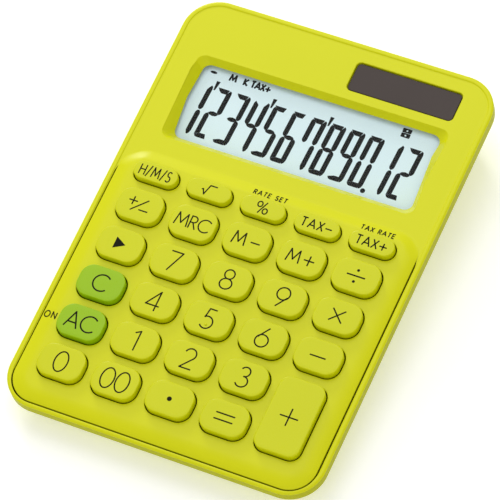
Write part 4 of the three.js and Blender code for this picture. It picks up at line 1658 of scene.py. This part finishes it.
    def add_screws(self) -> None:
        """Builds the case screws and the battery door's screw."""
        for node in sorted(n for n in frame["nodes"] if n.startswith("case_screw")):
            low, high = self.face.box(node)
            head = 1.3
            made = self.screw(self.head, head, 1.1, high.z - low.z - head)
            made.name = node.replace("case_", "shell_")
            spot = Matrix.Translation(((low.x + high.x) / 2, (low.y + high.y) / 2, low.z + head))
            settle(made, self.face.to_desk @ spot, STEEL, CASE_BODY, [node], "steel")
        low, high = self.node_box("battery_door_screw")
        head = 0.7
        made = self.screw(self.head, head, 0.9, high.z - low.z - head)
        made.name = "door_screw"
        spot = Matrix.Translation(((low.x + high.x) / 2, (low.y + high.y) / 2, low.z + head))
        settle(made, spot, STEEL, CASE_BODY, ["battery_door_screw"], "steel")

    def add_door(self) -> None:
        """Builds the battery door with eased edges, a counterbore and finger ribs."""
        low, high = self.node_box("battery_door")
        screw_low, screw_high = self.node_box("battery_door_screw")
        x, y = (screw_low.x + screw_high.x) / 2, (low.y + high.y) / 2
        plate = Outline.between(low.x, high.x, low.y, high.y, 0.8, 4)
        shape = Shape().start(plate, high.z).rise(low.z - high.z + 0.3)
        shape.follow(quarter_round(0.3, -0.3, 3))
        made = shape.to_object("battery_cover")
        combine(made, Shape().rod(2.4, x, y, 0.0, screw_low.z + 1.0), Cut.REMOVE)
        combine(made, Shape().rod(1.2, x, y, 0.0, 5.0), Cut.REMOVE)
        grooves = Shape()
        for i in range(5):
            rib = Outline(0.5, 9.0, 0.24, low.x + 3.0 + 1.3 * i, y, 3)
            grooves.prism(rib, 0.0, low.z + 0.35)
        combine(made, grooves, Cut.REMOVE)
        settle(made, Matrix.Identity(4), LIME_LOWER, CASE_BODY, ["battery_door"], "lime_lower_case")


# ---------------------------------------------------------------- inside, studio


class Inside:
    """The pieces inside the case, which keep their CAD shapes."""

    finishes = {
        "lcd_holder": INNER_PLASTIC,
        "lcd_film": FILM,
        "solar_cell": SOLAR_FILM,
        "solar_lead_plus": RED_LEAD,
        "solar_lead_minus": BLACK_LEAD,
        "rubber_key_mat": SILICONE,
        "circuit_board": BOARD,
        "chip_blob": EPOXY,
        "button_cell": NICKEL,
        "battery_contact_side": NICKEL,
        "battery_contact_top": NICKEL,
        "board_screw_front_left": STEEL,
        "board_screw_front_right": STEEL,
        "board_screw_rear": STEEL,
    }

    def dress(self) -> None:
        """Gives each inner node its finish."""
        for node, finish in self.finishes.items():
            made = frame["nodes"][node]
            made.data.materials.clear()
            made.data.materials.append(finish.build())
            LOG.info("%s: %s", node, finish.name)


@dataclass
class Studio:
    """The floor, the light and the camera."""

    face: Face
    azimuth: float = 35.05
    elevation: float = 56.53
    roll: float = 12.17
    distance: float = 1234.1
    lens: float = 292.7
    target: Vector = field(default_factory=lambda: Vector((0.79, -3.34, 0.0)))
    sky: float = 0.64
    lamps: tuple[tuple[str, tuple[float, float, float], float, float], ...] = (
        ("key_light", (-0.3, 0.5, 1.1), 0.8, 4.2),
        ("edge_light", (-0.75, 0.93, 0.52), 0.35, 5.0),
        ("fill_light", (0.3, -0.9, 0.9), 0.9, 1.0),
    )

    def build(self) -> None:
        """Sets the whole studio up."""
        self.add_camera()
        self.add_floor()
        self.add_lights()

    def add_camera(self) -> None:
        """Places the camera with its axis through the target on the face."""
        a, e, roll = (math.radians(v) for v in (self.azimuth, self.elevation, self.roll))
        back = Vector((math.sin(a) * math.cos(e), -math.cos(a) * math.cos(e), math.sin(e)))
        level = Vector((0, 0, 1)).cross(back).normalized()
        upright = back.cross(level)
        up = upright * math.cos(roll) + level * math.sin(roll)
        right = up.cross(back)
        camera = bpy.data.objects.new("camera", bpy.data.cameras.new("camera"))
        bpy.context.scene.collection.objects.link(camera)
        spot = (self.face.to_desk @ self.target + back * self.distance) * MM
        camera.matrix_world = Matrix.Translation(spot) @ Matrix((right, up, back)).transposed().to_4x4()
        camera.data.lens = self.lens
        camera.data.sensor_width = 36
        camera.data.clip_start = 0.05
        camera.data.clip_end = 20
        bpy.context.scene.camera = camera

    def add_floor(self) -> None:
        """Lays the floor under the feet."""
        shape = Shape()
        bmesh.ops.create_grid(shape.mesh, x_segments=1, y_segments=1, size=3.0)
        floor = shape.to_object("floor")
        floor.data.materials.append(FLOOR.build())

    def add_lights(self) -> None:
        """Hangs a broad light above the back, a low one for the gloss, and a weak one in front."""
        world = bpy.data.worlds.new("studio")
        world.use_nodes = True
        sky = world.node_tree.nodes["Background"]
        sky.inputs["Color"].default_value = (1, 1, 1, 1)
        sky.inputs["Strength"].default_value = self.sky
        bpy.context.scene.world = world
        for name, spot, size, power in self.lamps:
            self.add_area(name, Vector(spot), size, power)

    def add_area(self, name: str, spot: Vector, size: float, power: float) -> None:
        """Hangs a square light that looks at the object.

        Args:
            name: Its name.
            spot: Its place, in metres.
            size: The length of its side.
            power: Its power, in watts.
        """
        data = bpy.data.lights.new(name, "AREA")
        data.size = size
        data.energy = power
        light = bpy.data.objects.new(name, data)
        light.matrix_world = Matrix.Translation(spot) @ spot.to_track_quat("Z", "Y").to_matrix().to_4x4()
        bpy.context.scene.collection.objects.link(light)


def main() -> None:
    """Builds the calculator, piece by piece, and its studio."""
    logging.basicConfig(level=logging.INFO, format="%(name)s: %(message)s")
    face = Face(UpperShell.pad_height)
    keypad = Keypad(face)
    shell = UpperShell(face, keypad.places())
    Studio(face).build()
    shell.build()
    keypad.build()
    PadPrint(face, shell).build()
    Display(face, shell).build()
    SolarStrip(face).build()
    LowerShell(face).build()
    Inside().dress()
    bpy.context.scene.view_settings.view_transform = "Standard"


if __name__ == "__main__":
    main()
